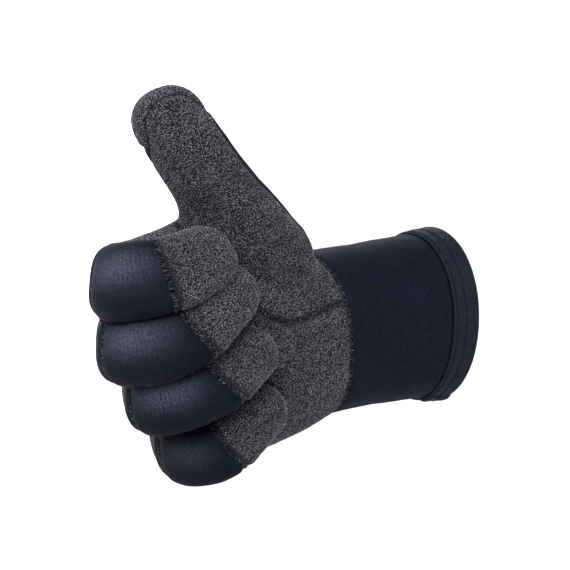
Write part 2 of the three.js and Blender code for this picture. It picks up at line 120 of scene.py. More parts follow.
def bone_line(joints, radii, limits, back, spacing=0.8):
    """Steps along the bones: joint count u, place, forward, back, side and length so far."""
    ways = [unit(b - a) for a, b in zip(joints, joints[1:])]
    longs = [np.linalg.norm(b - a) for a, b in zip(joints, joints[1:])]
    taken = [0.0]
    for i in range(len(ways) - 1):
        bend = math.acos(np.clip(np.dot(ways[i], ways[i + 1]), -1, 1))
        taken.append(min(radii[i] * math.tan(bend / 2), limits[i] * min(longs[i], longs[i + 1])))
    taken.append(0.0)
    place, forward = joints[0].astype(float), ways[0]
    outward = unit(back - forward * np.dot(back, forward))
    rows = []
    for i, way in enumerate(ways):
        run = longs[i] - taken[i] - taken[i + 1]
        count = max(2, math.ceil(run / spacing))
        for share in np.linspace(0, 1, count, endpoint=False):
            u = i + (taken[i] + share * run) / longs[i]
            rows.append((u, place + forward * run * share, forward, outward))
        place = place + forward * run
        if i + 1 == len(ways):
            rows.append((i + 1.0, place, forward, outward))
            break
        angle = math.acos(np.clip(np.dot(way, ways[i + 1]), -1, 1))
        axis = unit(np.cross(way, ways[i + 1]))
        radius = taken[i + 1] / math.tan(angle / 2)
        centre = place + np.cross(axis, forward) * radius
        u_from, u_to = i + 1 - taken[i + 1] / longs[i], i + 1 + taken[i + 1] / longs[i + 1]
        count = max(3, math.ceil(radius * angle / spacing))
        for share in np.linspace(0, 1, count, endpoint=False):
            bend = angle * share
            rows.append((u_from + (u_to - u_from) * share, centre + turned(place - centre, axis, bend),
                         turned(forward, axis, bend), turned(outward, axis, bend)))
        place = centre + turned(place - centre, axis, angle)
        forward, outward = turned(forward, axis, angle), turned(outward, axis, angle)
    u, places, forwards, outwards = (np.array(column) for column in zip(*rows))
    sides = np.cross(outwards, forwards)
    steps = np.linalg.norm(np.diff(places, axis=0), axis=1)
    return u, places, forwards, outwards, sides, np.concatenate([[0], np.cumsum(steps)])


def smoothed(values, reach):
    """A row of values after a moving average."""
    kernel = np.exp(-np.linspace(-2, 2, 2 * reach + 1) ** 2)
    padded_row = np.pad(values, reach, mode="edge")
    return np.convolve(padded_row, kernel / kernel.sum(), mode="valid")


x_axis, _, z_axis = np.eye(3)
print("a quarter turn of X about Z:", turned(x_axis, z_axis, math.pi / 2).round(3))

# %% [markdown]
# ## Distances
# Where the fingers meet the palm, real neoprene has no hard corner: the sheet bridges it in a soft curve.
# Such a form is awkward to draw with faces, but easy with distances. Each digit and the palm block tell how
# far any point lies from their skin, less than nothing inside, and a smooth minimum of two distances melts
# them together.

# %% Smooth minimum and maximum, and soft noise
def smooth_min(a, b, blend):
    h = np.clip(0.5 + 0.5 * (b - a) / blend, 0, 1)
    return b * (1 - h) + a * h - blend * h * (1 - h)


def smooth_max(a, b, blend):
    return -smooth_min(-a, -b, blend)


def ramp(values, low, high):
    t = np.clip((values - low) / (high - low), 0, 1)
    return t * t * (3 - 2 * t)


def soft_noise(points, size, seed):
    """Smooth random values between -1 and 1 with lumps of about the given size."""
    lattice = np.random.RandomState(seed).uniform(-1, 1, (32, 32, 32))
    q = points / size + 100
    cell = np.floor(q).astype(int)
    f = q - cell
    f = f * f * (3 - 2 * f)
    total = np.zeros(len(points))
    for corner in np.ndindex(2, 2, 2):
        weight = np.ones(len(points))
        for axis in range(3):
            weight = weight * (f[:, axis] if corner[axis] else 1 - f[:, axis])
        i, j, k = ((cell + corner) % 32).T
        total += weight * lattice[i, j, k]
    return total


print("noise at the origin:", soft_noise(np.zeros((1, 3)), 10.0, 1).round(3))

# %% A digit and its distance
FAR = 30.0
TIP_POWER = 2.25
TUBE_SOFTENING = 8


class Digit:
    """A finger or the thumb: a bone line with a squarish tube around it and a domed tip."""

    def __init__(self, line, profile, width, squareness, depth_share=1.0):
        self.u, self.places, self.forward, self.back, self.side, self.along = line
        self.squareness = np.interp(self.u, *squareness)
        columns = [smoothed(np.interp(self.u, profile[:, 0], profile[:, k]) * width, TUBE_SOFTENING)
                   for k in (1, 2, 3)]
        self.half_width = columns[0]
        self.back_height = columns[1] * depth_share
        self.front_height = columns[2] * depth_share
        self.tip_radius = width * profile[-1, 1]
        self.body_end = self.along[-1] - self.tip_radius
        self.low, self.high = self.places.min(0) - FAR, self.places.max(0) + FAR

    def at(self, joint):
        """How far along the digit a joint count lies, in millimetres."""
        return np.interp(joint, self.u, self.along)

    def locate(self, points):
        """Distance to the skin, joint count, side and back coordinate, and length along the digit."""
        nearest = np.empty(len(points), int)
        norms = (self.places ** 2).sum(1)
        for start in range(0, len(points), 60000):
            part = points[start:start + 60000]
            nearest[start:start + 60000] = (norms - 2 * part @ self.places.T).argmin(1)
        offset = points - self.places[nearest]
        ahead = (offset * self.forward[nearest]).sum(1)
        side = (offset * self.side[nearest]).sum(1)
        back = (offset * self.back[nearest]).sum(1)
        along = self.along[nearest] + ahead
        joint = np.interp(along, self.along, self.u)
        a = np.interp(along, self.along, self.half_width)
        b = np.where(back > 0, np.interp(along, self.along, self.back_height),
                     np.interp(along, self.along, self.front_height))
        x, y = np.abs(side) / a, np.abs(back) / b
        power = 2 / np.interp(along, self.along, self.squareness)
        rho = (x ** power + y ** power) ** (1 / power) + 1e-9
        slope = np.hypot(x ** (power - 1) / a, y ** (power - 1) / b) / rho ** (power - 1) + 1e-9
        q = np.clip((along - self.body_end) / self.tip_radius, 0, None)
        both = rho ** TIP_POWER + q ** TIP_POWER
        reach = (rho ** TIP_POWER / slope + q ** TIP_POWER * self.tip_radius) / both
        distance = (both ** (1 / TIP_POWER) - 1) * reach
        distance = np.maximum(distance, -along - 2)
        return distance, joint, side, back, along


wrist = np.array([-cuff_length, 0, 0])


def finger_line(row):
    knuckle = np.array([-cuff_length - row["reach"] * palm_length, 0, row["row"] * finger_row])
    joints = [knuckle + np.array([0.35 * palm_length, 0, -0.1 * row["row"] * finger_row]), knuckle]
    for share, curl, lean in zip(row["bones"], np.radians(row["curl"]), np.radians(row["lean"])):
        way = np.array([-math.cos(curl) * math.cos(lean), -math.sin(curl) * math.cos(lean), math.sin(lean)])
        joints.append(joints[-1] + way * share * finger_length)
    radii = [share * row["width"] * finger_width for share in bend_radii]
    return bone_line(joints, radii, bend_limits, np.array([0, 1.0, 0]))


fingers = {name: Digit(finger_line(row), finger_profile, row["width"] * finger_width,
                       ([1.3, 1.7, 2.6, 3.6], [finger_round, pad_round, pad_round, tip_round]))
           for name, row in finger_rows.items()}
thumb_joints = [wrist + np.array([-a, b, c]) * thumb_length for a, b, c in thumb_places]
thumb = Digit(bone_line(thumb_joints, [1.2 * thumb_width] * 2, [0.4, 0.4], thumb_back_way),
              thumb_profile, thumb_width, ([1.8, 2.6], [thumb_round, tip_round]), thumb_depth / thumb_width)
names = list(fingers)
print("steps along each digit:", {name: len(d.u) for name, d in fingers.items()}, "thumb", len(thumb.u))

# %% The palm block and its distance
BLOCK_POWER = 2 / 0.85
BLOCK_END, BLOCK_END_ROUND = 0.94, 9
wrist_share = np.array([-wrist_width / 2 - wrist_drop, wrist_width / 2 - wrist_drop]) / palm_breadth
palm_rows = np.array([
    [0.0, wrist_share[0], wrist_share[1], wrist_depth / 2 / back_height, wrist_depth / 2 / palm_height],
    [0.17, -0.435, 0.39, 1.18, 1.08], [0.38, -0.485, 0.45, 1.05, 1.08], [0.6, -0.49, 0.53, 0.98, 0.95],
    [0.8, -0.47, 0.505, 0.83, 0.78], [BLOCK_END, -0.44, 0.45, 0.6, 0.58]])
block_steps = np.linspace(-0.2, 1.1, 131)
block_columns = []
for column, scale in zip((1, 2, 3, 4), (palm_breadth, palm_breadth, back_height, palm_height)):
    straight = np.interp(block_steps, palm_rows[:, 0], palm_rows[:, column]) * scale
    soft = smoothed(straight, 8)
    block_columns.append(straight + (soft - straight) * ramp(block_steps, 0, 0.06))


def along_block(points):
    """How far a point lies along the palm, from the wrist seam, 0, to the knuckles, 1."""
    x, y, z = points.T
    along = (-x - cuff_length) / palm_length
    for _ in range(4):
        slant = wrist_slant + (knuckle_slant - wrist_slant) * along
        lean = wrist_lean * np.maximum(1 - 2 * along, 0)
        along = (-x - cuff_length - slant * z - lean * y) / palm_length
    return along


def block_distance(points):
    along = along_block(points)
    low, high, back, front = (np.interp(along, block_steps, column) for column in block_columns)
    y, z = points[:, 1], points[:, 2]
    a = (high - low) / 2
    b = np.where(y > 0, back, front)
    p, q = np.abs(z - (low + high) / 2) / a, np.abs(y) / b
    rho = (p ** BLOCK_POWER + q ** BLOCK_POWER) ** (1 / BLOCK_POWER) + 1e-9
    slope = np.hypot(p ** (BLOCK_POWER - 1) / a, q ** (BLOCK_POWER - 1) / b) / rho ** (BLOCK_POWER - 1) + 1e-9
    return smooth_max((rho - 1) / slope, (along - BLOCK_END) * palm_length, BLOCK_END_ROUND)


print("distance of the palm's middle:", block_distance(np.array([[-110.0, 0, 0]])).round(1), "mm")

# %% [markdown]
# ## One skin for the hand
# The distances are put together as the glove is: four fingers beside each other, pressed flat where they
# touch, the palm with the room that the curled fingers take cut out of it, and the thumb in a wide soft web.

# %% The hand as one distance
CREASE_ROUND = 1.1
CURL_ROOM = 1.1
HOLLOW_ROUND, TIP_HOLLOW_ROUND, KNUCKLE_ROUND = 2.2, 1.8, 6
TOUCHING = 0.06
ROOT_END, TIPS_FROM = 2.25, 2.35
neighbours = {"index": ["middle"], "middle": ["index", "ring"],
              "ring": ["middle", "little"], "little": ["ring"]}


def locate_near(digit, points):
    """As Digit.locate, but points far from the digit are only told that they are far."""
    inside = ((points > digit.low) & (points < digit.high)).all(1)
    rows = [np.full(len(points), fill) for fill in (FAR, 0.0, 0.0, 0.0, 0.0)]
    if inside.any():
        for row, found in zip(rows, digit.locate(points[inside])):
            row[inside] = found
    return rows


def parting(joint):
    """The room between two fingers side by side: none in the palm, a hair's breadth past the crotch."""
    return -9 + (9 + TOUCHING) * ramp(joint, crotch_joint - 0.32, crotch_joint - 0.02)


def hand_parts(points):
    found = {name: locate_near(digit, points) for name, digit in fingers.items()}
    root, curled, tips = (np.full(len(points), FAR) for _ in range(3))
    best = np.full(len(points), FAR)
    joint, back, seam = (np.zeros(len(points)) for _ in range(3))
    for name, (distance, u, _, n, along) in found.items():
        fitted = distance
        for other in neighbours[name]:
            fitted = smooth_max(fitted, (distance - found[other][0]) / 2 + parting(u), CREASE_ROUND)
        digit = fingers[name]
        root = np.minimum(root, np.maximum(fitted, along - digit.at(ROOT_END)))
        curled = np.minimum(curled, np.maximum(distance, digit.at(crotch_joint) - along))
        tips = np.minimum(tips, np.maximum(distance, digit.at(TIPS_FROM) - along))
        nearer = distance < best
        best = np.where(nearer, distance, best)
        joint, back = np.where(nearer, u, joint), np.where(nearer, n, back)
        seam = np.where(nearer, finger_rows[name]["seam"], seam)
    block = smooth_max(block_distance(points), -(curled - CURL_ROOM), HOLLOW_ROUND)
    knuckled = smooth_max(smooth_min(root, block, KNUCKLE_ROUND), -(tips - CURL_ROOM), TIP_HOLLOW_ROUND)
    ball, thumb_u, thumb_l, thumb_n, thumb_along = locate_near(thumb, points)
    near_wrist = 1 - ramp(along_block(points) * palm_length, 0, 16)
    ball = smooth_max(ball + 14 * near_wrist, -(curled - CURL_ROOM), HOLLOW_ROUND)
    web = 10 + 14 * ramp(points[:, 2], 30, 52)
    whole = smooth_min(knuckled, ball, web)
    return dict(whole=whole, root=root, block=block, knuckled=knuckled, ball=ball, joint=joint, back=back,
                seam=seam, thumb_u=thumb_u, thumb_l=thumb_l, thumb_n=thumb_n, thumb_along=thumb_along)


def hand_distance(points):
    return hand_parts(points)["whole"]


# %% [markdown]
# The skin is where the distance is nothing. Surface nets find it: the space is filled with a grid, a point is
# put in every cell that the skin passes through, and the points of neighbouring cells are joined by faces.

# %% Surface nets
def surface_nets(field, low, spacing):
    cells = np.array(field.shape) - 1
    summed, count = np.zeros((*cells, 3)), np.zeros(tuple(cells))
    for axis in range(3):
        for offset in np.ndindex(2, 2):
            start = list(offset[:axis]) + [0] + list(offset[axis:])
            end = list(start)
            end[axis] = 1
            a = field[tuple(slice(s, s + c) for s, c in zip(start, cells))]
            b = field[tuple(slice(s, s + c) for s, c in zip(end, cells))]
            cross = (a < 0) != (b < 0)
            share = np.where(cross, a / np.where(cross, a - b, 1), 0)
            for k in range(3):
                summed[..., k] += np.where(cross, share if k == axis else start[k], 0)
            count += cross
    used = count > 0
    number = np.full(tuple(cells), -1)
    number[used] = np.arange(used.sum())
    points = (np.argwhere(used) + summed[used] / count[used][:, None]) * spacing + low
    faces = []
    for axis in range(3):
        b_axis, c_axis = (axis + 1) % 3, (axis + 2) % 3
        lower, upper = [slice(1, -1)] * 3, [slice(1, -1)] * 3
        lower[axis], upper[axis] = slice(0, -1), slice(1, None)
        a, b = field[tuple(lower)], field[tuple(upper)]
        for mask, flip in (((a < 0) & (b >= 0), False), ((a >= 0) & (b < 0), True)):
            where = np.argwhere(mask)
            where[:, b_axis] += 1
            where[:, c_axis] += 1
            quad = []
            for db, dc in ((1, 1), (0, 1), (0, 0), (1, 0)):
                cell = where.copy()
                cell[:, b_axis] -= db
                cell[:, c_axis] -= dc
                quad.append(number[tuple(cell.T)])
            quad = np.stack(quad, 1)
            faces.append(quad[:, ::-1] if flip else quad)
    faces = np.concatenate(faces)
    return points, np.concatenate([faces[:, [0, 1, 2]], faces[:, [0, 2, 3]]])


def slope_of(function, points, width=0.06):
    base = function(points)
    slopes = np.stack([function(points + np.eye(3)[k] * width) - base for k in range(3)], 1) / width
    return base, slopes


def sides_of(faces):
    """The three sides of each triangle, as pairs of points."""
    return np.concatenate([faces[:, [0, 1]], faces[:, [1, 2]], faces[:, [2, 0]]])


def settle(points, faces, function, rounds=2):
    """Evens the faces out and puts the points back on the skin. Gives the points and their normals."""
    edges = np.unique(np.sort(sides_of(faces), 1), axis=0)
    degree = np.bincount(edges.ravel(), minlength=len(points))[:, None]
    for _ in range(rounds):
        total = np.zeros_like(points)
        np.add.at(total, edges[:, 0], points[edges[:, 1]])
        np.add.at(total, edges[:, 1], points[edges[:, 0]])
        points = points * 0.4 + total / degree * 0.6
        value, slopes = slope_of(function, points)
        size = np.maximum((slopes ** 2).sum(1), 0.2)[:, None]
        points = points - np.clip(value[:, None] * slopes / size, -0.6, 0.6)
    _, slopes = slope_of(function, points)
    return points, slopes / np.maximum(np.linalg.norm(slopes, axis=1), 1e-6)[:, None]


# %% The skin of the hand
low_corner = np.array([-196.0, -66.0, -60.0])
high_corner = np.array([-60.0, 36.0, 132.0])
counts = np.ceil((high_corner - low_corner) / step).astype(int)
axes = [low_corner[k] + step * np.arange(counts[k]) for k in range(3)]
grid_points = np.stack(np.meshgrid(*axes, indexing="ij"), -1).reshape(-1, 3)
field = hand_distance(grid_points).reshape(tuple(counts))
hand_points, hand_faces = surface_nets(field, low_corner, step)
hand_points, hand_normals = settle(hand_points, hand_faces, hand_distance)
print("the hand's skin:", len(hand_points), "points,", len(hand_faces), "triangles")

# %% [markdown]
# ## Cutting the panels
# A maker cuts flat panels and sews them edge to edge. Here each seam is a line where some measure is nothing:
# how far a point lies in front of the side seam, above the seam round the ball of the thumb, or past a seam
# across a finger. A panel keeps the part of the skin where all of its measures are more than half a seam's
# gap.

# %% Measures of the seams
thenar_x = -cuff_length - thenar_edge[:, 0] * palm_length
thenar_z = thenar_edge[:, 1] * palm_breadth
fine = np.linspace(0, len(thenar_edge) - 1, 181)
thenar_line = np.stack([smoothed(np.interp(fine, np.arange(len(thenar_edge)), row), 14)
                        for row in (thenar_x, thenar_z)], 1)


def thenar_measure(points):
    """Distance from the seam round the ball of the thumb, more than nothing on the thumb's side."""
    flat = points[:, [0, 2]]
    gaps = np.sqrt(((flat[:, None] - thenar_line[None]) ** 2).sum(2).min(1))
    order = np.argsort(thenar_line[:, 0])
    height = np.interp(flat[:, 0], thenar_line[order, 0], thenar_line[order, 1])
    inside = (flat[:, 1] > height) & (flat[:, 0] > thenar_line[:, 0].min())
    return np.where(inside, gaps, -gaps)


def wrist_measure(points):
    x, y, z = points.T
    return -(x + wrist_slant * z + wrist_lean * y + cuff_length)


INDEX_WRAP = 6.0
THUMB_WRAP = ([0.5, 1.0, 1.5, 2.2, 2.5, 2.7], [3.0, 3.0, 1.5, 0.5, -4.0, -7.5])
TIP_TWIST = 0.44
joint_step = 0.38 * finger_length


def seam_measures(points):
    parts = hand_parts(points)
    finger_share = ramp(parts["block"] - parts["root"], -4, 2)
    side = points[:, 1] * (1 - finger_share) + parts["back"] * finger_share
    side = side - INDEX_WRAP * ramp(points[:, 2], 40, 50)
    thumb_share = ramp(parts["knuckled"] - parts["ball"], -4, 4)
    twist = TIP_TWIST * ramp(parts["thumb_u"], 2.15, 2.6)
    thumb_side = parts["thumb_n"] * np.cos(twist) - parts["thumb_l"] * np.sin(twist)
    thumb_side = thumb_side - np.interp(parts["thumb_u"], *THUMB_WRAP)
    side = side * (1 - thumb_share) + thumb_side * thumb_share
    on_thumb = (parts["knuckled"] - parts["ball"]) / 1.5
    off_finger = parts["root"] - parts["block"] - 1.0
    return dict(
        side=side, thumb=on_thumb, wrist=wrist_measure(points),
        ball=np.maximum(thenar_measure(points), on_thumb),
        crotch=np.maximum((crotch_joint - parts["joint"]) * joint_step, off_finger),
        middle=np.maximum((parts["seam"] - parts["joint"]) * joint_step, off_finger),
        cap=parts["thumb_along"] - thumb.at(thumb_cap_seam))


measures = seam_measures(hand_points)
print({name: (round(float(row.min()), 1), round(float(row.max()), 1)) for name, row in measures.items()})

# %% Cutting a skin along a measure
class Skin:
    """Triangles with a normal and named measures at each point."""

    def __init__(self, points, faces, normals, rows):
        self.points, self.faces, self.normals, self.rows = points, faces, normals, rows

    def cut(self, value, snap=0.12):
        """The part where the value is more than nothing."""
        keep = value > 0
        inside = keep[self.faces].sum(1)
        whole = self.faces[inside == 3]
        cut_faces = self.faces[(inside > 0) & (inside < 3)]
        pairs = sides_of(cut_faces)
        pairs = pairs[keep[pairs[:, 0]] != keep[pairs[:, 1]]]
        pairs = np.unique(np.sort(pairs, 1), axis=0)
        inner = np.where(keep[pairs[:, 0]], pairs[:, 0], pairs[:, 1])
        outer = np.where(keep[pairs[:, 0]], pairs[:, 1], pairs[:, 0])
        share = value[inner] / (value[inner] - value[outer])
        number = np.where(share < snap, inner, len(self.points) + np.arange(len(pairs)))
        lookup = dict(zip(map(tuple, pairs.tolist()), number.tolist()))

        def between(row):
            if row.ndim == 1:
                return np.concatenate([row, row[inner] + (row[outer] - row[inner]) * share])
            return np.concatenate([row, row[inner] + (row[outer] - row[inner]) * share[:, None]])

        extra = []
        for face in cut_faces.tolist():
            ring = []
            for a, b in zip(face, face[1:] + face[:1]):
                if keep[a]:
                    ring.append(a)
                if keep[a] != keep[b]:
                    ring.append(lookup[(a, b) if a < b else (b, a)])
            ring = [v for k, v in enumerate(ring) if v != ring[k - 1]]
            extra += [(ring[0], ring[k], ring[k + 1]) for k in range(1, len(ring) - 1)
                      if len({ring[0], ring[k], ring[k + 1]}) == 3]
        faces = np.concatenate([whole, np.array(extra, int).reshape(-1, 3)])
        made = Skin(between(self.points), faces, between(self.normals),
                    {name: between(row) for name, row in self.rows.items()})
        return made.tidied()

    def tidied(self):
        used = np.unique(self.faces)
        number = np.full(len(self.points), -1)
        number[used] = np.arange(len(used))
        return Skin(self.points[used], number[self.faces], self.normals[used],
                    {name: row[used] for name, row in self.rows.items()})

    def largest(self):
        """The largest connected part, without stray scraps."""
        label = np.arange(len(self.points))
        edges = np.concatenate([self.faces[:, [0, 1]], self.faces[:, [1, 2]]])
        while True:
            least = label.copy()
            np.minimum.at(least, edges[:, 0], label[edges[:, 1]])
            np.minimum.at(least, edges[:, 1], label[edges[:, 0]])
            least = least[least]
            if (least == label).all():
                break
            label = least
        part = label[self.faces[:, 0]]
        faces = self.faces[part == np.bincount(part).argmax()]
        return Skin(self.points, faces, self.normals, self.rows).tidied()

    def panel(self, *seams):
        """The part on the wanted side of each seam. A seam is a name, with - before it for its other side."""
        made = self
        for seam in seams:
            sign, name = (-1, seam[1:]) if seam.startswith("-") else (1, seam)
            made = made.cut(sign * made.rows[name] - half_gap)
        edge, fold = np.full(len(made.points), 99.0), np.full(len(made.points), 99.0)
        for seam in seams:
            sign, name = (-1, seam[1:]) if seam.startswith("-") else (1, seam)
            row = np.maximum(sign * made.rows[name] - half_gap, 0)
            if name == "side":
                fold = np.minimum(fold, row)
            else:
                edge = np.minimum(edge, row)
        made.rows["edge"], made.rows["fold"] = edge, fold
        return made.largest()


measures["run"] = hand_points[:, 0]
# the navy back panels get a faint even share of the painted highlight
measures["painted_highlight"] = np.full(len(hand_points), 0.15)
hand = Skin(hand_points, hand_faces, hand_normals, measures)
panels = {
    "back_panel": hand.panel("side", "-thumb", "middle", "wrist"),
    "palm_panel": hand.panel("-side", "-ball", "crotch", "wrist"),
    "thumb_front": hand.panel("-side", "ball", "wrist"),
    "thumb_back": hand.panel("side", "thumb", "-cap", "wrist"),
    "thumb_tip_cap": hand.panel("side", "thumb", "cap"),
}
print("triangles in each panel:", {name: len(skin.faces) for name, skin in panels.items()})

# %% [markdown]
# ## Curled fingers
# Past the crotch each finger is a tube of its own. Rings of points follow the bone line, and each point is
# drawn in where the next finger is pressed against it, so that neighbours meet in a flat face with soft
# rounded edges.

# %% The skin of one finger
COLUMNS = 96
DOME_ROWS, DOME_END = 13, 86
# painted highlight on the finger pads: how strong on each finger, and where: joint, side, and the reach of each
PAINTED_HIGHLIGHT = {"index": 1.0, "middle": 0.85, "ring": 0.95, "little": 0.35}
HIGHLIGHT_JOINT, JOINT_REACH, HIGHLIGHT_SIDE, SIDE_REACH = 2.25, 0.38, 0.25, 0.42


def wrapped(rows, columns, closed_profile):
    """Faces between rings of points, rows by columns, wrapped round each ring."""
    faces = []
    a, b = np.arange(columns), (np.arange(columns) + 1) % columns
    for r in range(rows if closed_profile else rows - 1):
        s = (r + 1) % rows
        faces += [np.stack([r * columns + a, r * columns + b, s * columns + b], 1),
                  np.stack([r * columns + a, s * columns + b, s * columns + a], 1)]
    return np.concatenate(faces)


def finger_skin(name):
    digit, start = fingers[name], fingers[name].at(crotch_joint)
    body = np.linspace(start, digit.body_end, max(12, math.ceil((digit.body_end - start) / step)))
    dome = np.radians(np.linspace(0, DOME_END, DOME_ROWS + 1)[1:])
    along = np.concatenate([body, digit.body_end + digit.tip_radius * np.sin(dome)])
    share = np.concatenate([np.ones(len(body)), (1 - np.sin(dome) ** TIP_POWER) ** (1 / TIP_POWER)])
    angle = np.arange(COLUMNS) * 2 * math.pi / COLUMNS
    cos, sin = np.cos(angle), np.sin(angle)
    squareness = np.interp(along, digit.along, digit.squareness)[:, None]
    sideways = np.sign(cos) * np.abs(cos) ** squareness
    upwards = np.sign(sin) * np.abs(sin) ** squareness

    def read(row):
        if row.ndim == 1:
            return np.interp(along, digit.along, row)
        return np.stack([np.interp(along, digit.along, row[:, k]) for k in range(3)], 1)

    centre, side, back = read(digit.places), read(digit.side), read(digit.back)
    height = np.where(sin >= 0, read(digit.back_height)[:, None], read(digit.front_height)[:, None])
    x = read(digit.half_width)[:, None] * sideways * share[:, None]
    y = height * upwards * share[:, None]
    spoke = x[..., None] * side[:, None] + y[..., None] * back[:, None]
    reach = np.linalg.norm(spoke, axis=2)
    joint = np.interp(along, digit.along, digit.u)[:, None] + np.zeros_like(reach)
    length = reach.copy()
    for other in neighbours[name]:
        scale = np.ones_like(reach)
        for _ in range(7):
            points = centre[:, None] + spoke * scale[..., None]
            gap = locate_near(fingers[other], points.reshape(-1, 3))[0].reshape(reach.shape)
            over = (reach * (scale - 1) - gap) / 2 + parting(joint)
            scale = np.clip(scale - 0.8 * over / np.maximum(reach, 0.5), 0.35, 1.6)
        length = smooth_min(length, reach * scale, CREASE_ROUND)
    drawn_in = length / np.maximum(reach, 1e-6)
    tube = centre[:, None] + spoke * drawn_in[..., None]
    points = np.concatenate([tube.reshape(-1, 3), digit.places[-1:]])
    last_ring = reach.size - COLUMNS + np.arange(COLUMNS)
    tip_fan = np.stack([last_ring, np.roll(last_ring, -1), np.full(COLUMNS, reach.size)], 1)
    faces = np.concatenate([wrapped(*reach.shape, closed_profile=False), tip_fan])
    depth, across = y * drawn_in, x * drawn_in
    wrap = INDEX_WRAP * (x > 0.5 * reach) * ((joint < finger_rows[name]["seam"]) & (name == "index"))
    # the painted highlight is strongest near the middle of each pad and fades away from it
    off_middle = (((joint - HIGHLIGHT_JOINT) / JOINT_REACH) ** 2
                  + ((across / digit.half_width.max() - HIGHLIGHT_SIDE) / SIDE_REACH) ** 2)
    rows = dict(side=(depth - wrap, 0), run=(along[:, None] + np.zeros_like(reach), digit.along[-1]),
                across=(across, 0), painted_highlight=(PAINTED_HIGHLIGHT[name] * np.exp(-off_middle), 0))
    rows = {key: np.append(row, at_pole) for key, (row, at_pole) in rows.items()}
    normals = point_normals(points, faces)
    if (normals[:-1] * spoke.reshape(-1, 3)).sum() < 0:
        faces, normals = faces[:, ::-1], -normals
    return Skin(points, faces, normals, rows), (tube, along)


def point_normals(points, faces):
    a, b, c = (points[faces[:, k]] for k in range(3))
    flat = np.cross(b - a, c - a)
    normals = np.zeros_like(points)
    for k in range(3):
        np.add.at(normals, faces[:, k], flat)
    return normals / np.maximum(np.linalg.norm(normals, axis=1), 1e-9)[:, None]


finger_grids, finger_skins = {}, {}
for name, digit in fingers.items():
    skin, finger_grids[name] = finger_skin(name)
    finger_skins[name] = skin
    skin.rows["start"] = skin.rows["run"] - digit.at(crotch_joint)
    skin.rows["middle"] = skin.rows["run"] - digit.at(finger_rows[name]["seam"])
    skew = finger_rows[name]["skew"] * skin.rows["across"]
    skin.rows["cap"] = skin.rows["run"] - digit.at(finger_rows[name]["cap"]) + skew
    panels[f"{name}_back"] = skin.panel("side", "middle", "-cap")
    panels[f"{name}_tip_cap"] = skin.panel("side", "cap")
    panels[f"{name}_front"] = skin.panel("-side", "start")
print("panels in all:", len(panels))

# %% [markdown]
# ## Thickness
# The sheet is 5 mm foam rubber with cloth on both faces. An open skin gets its thickness by copying it
# inwards and closing the rims. Sewing pulls the edges in, so each point near an edge is moved in along its
# normal, and a little noise keeps the cloth from looking machined.

# %% From a skin to a piece
GROOVE_DEPTH, GROOVE_WIDTH = 1.2, 1.3
FOLD_DEPTH, FOLD_WIDTH = 0.35, 0.9
LUMPS = ((0.3, 17.0, 5), (0.14, 6.0, 6))


def boundary_edges(faces):
    edges = sides_of(faces)
    _, first, count = np.unique(np.sort(edges, 1), axis=0, return_index=True, return_counts=True)
    return edges[first[count == 1]]


def relief(skin):
    """How far each point stands out: a groove along the seams, and lumps of two sizes."""
    edge, fold = skin.rows["edge"], skin.rows["fold"]
    groove = GROOVE_DEPTH * np.exp(-(edge / GROOVE_WIDTH) ** 2)
    groove = groove + FOLD_DEPTH * np.exp(-(fold / FOLD_WIDTH) ** 2)
    return sum(height * soft_noise(skin.points, size, seed) for height, size, seed in LUMPS) - groove


def mesh_object(name, points, faces, finish):
    mesh = bpy.data.meshes.new(name)
    mesh.from_pydata((np.asarray(points) * MM).tolist(), [], np.asarray(faces).tolist())
    mesh.polygons.foreach_set("use_smooth", [True] * len(mesh.polygons))
    for material in finish:
        mesh.materials.append(material)
    made = bpy.data.objects.new(name, mesh)
    bpy.context.scene.collection.objects.link(made)
    return made


def thick_piece(name, skin, finish):
    """The piece, and the points of its outer face."""
    outer = skin.points + skin.normals * relief(skin)[:, None]
    inner = skin.points - skin.normals * neoprene
    count = len(outer)
    rim = boundary_edges(skin.faces)
    a, b = rim[:, 0], rim[:, 1]
    rims = np.concatenate([np.stack([b, a, a + count], 1), np.stack([b, a + count, b + count], 1)])
    faces = np.concatenate([skin.faces, skin.faces[:, ::-1] + count, rims])
    piece = mesh_object(name, np.concatenate([outer, inner]), faces, finish)
    for key in ("run", "painted_highlight", "edge"):
        layer = piece.data.attributes.new(key, "FLOAT", "POINT")
        layer.data.foreach_set("value", np.tile(skin.rows[key], 2).astype(np.float32))
    slots = np.concatenate([np.zeros(len(skin.faces)), np.ones(len(skin.faces)), np.full(len(rims), 2)])
    piece.data.polygons.foreach_set("material_index", slots.astype(np.int32))
    piece.data.update()
    return piece, outer


# %% [markdown]
# ## Finishes
# Shader maths reads better as sums than as wires, so a small class wraps a socket and adds a Math node for
# each operator. The outside needs navy jersey with fine ribs, grey grip cloth with its pale yarn, and thread.
# The inside of the cuff's mouth shows a plain lining, and the cut edges show the black foam between the
# cloths.

# %% Sockets as numbers
def feed(tree, slot, value):
    """Gives an input a value, or links it to a socket or a Signal."""
    value = value.socket if isinstance(value, Signal) else value
    if isinstance(value, bpy.types.NodeSocket):
        tree.links.new(value, slot)
    else:
        slot.default_value = value


def add_node(tree, kind, settings, inputs):
    """A node with its settings and inputs. An input is given by its name, or as i2 for the third one."""
    node = tree.nodes.new(kind)
    for key, value in (settings or {}).items():
        setattr(node, key, value)
    for key, value in inputs.items():
        numbered = key[0] == "i" and key[1:].isdigit()
        feed(tree, node.inputs[int(key[1:]) if numbered else key.replace("_", " ")], value)
    return node


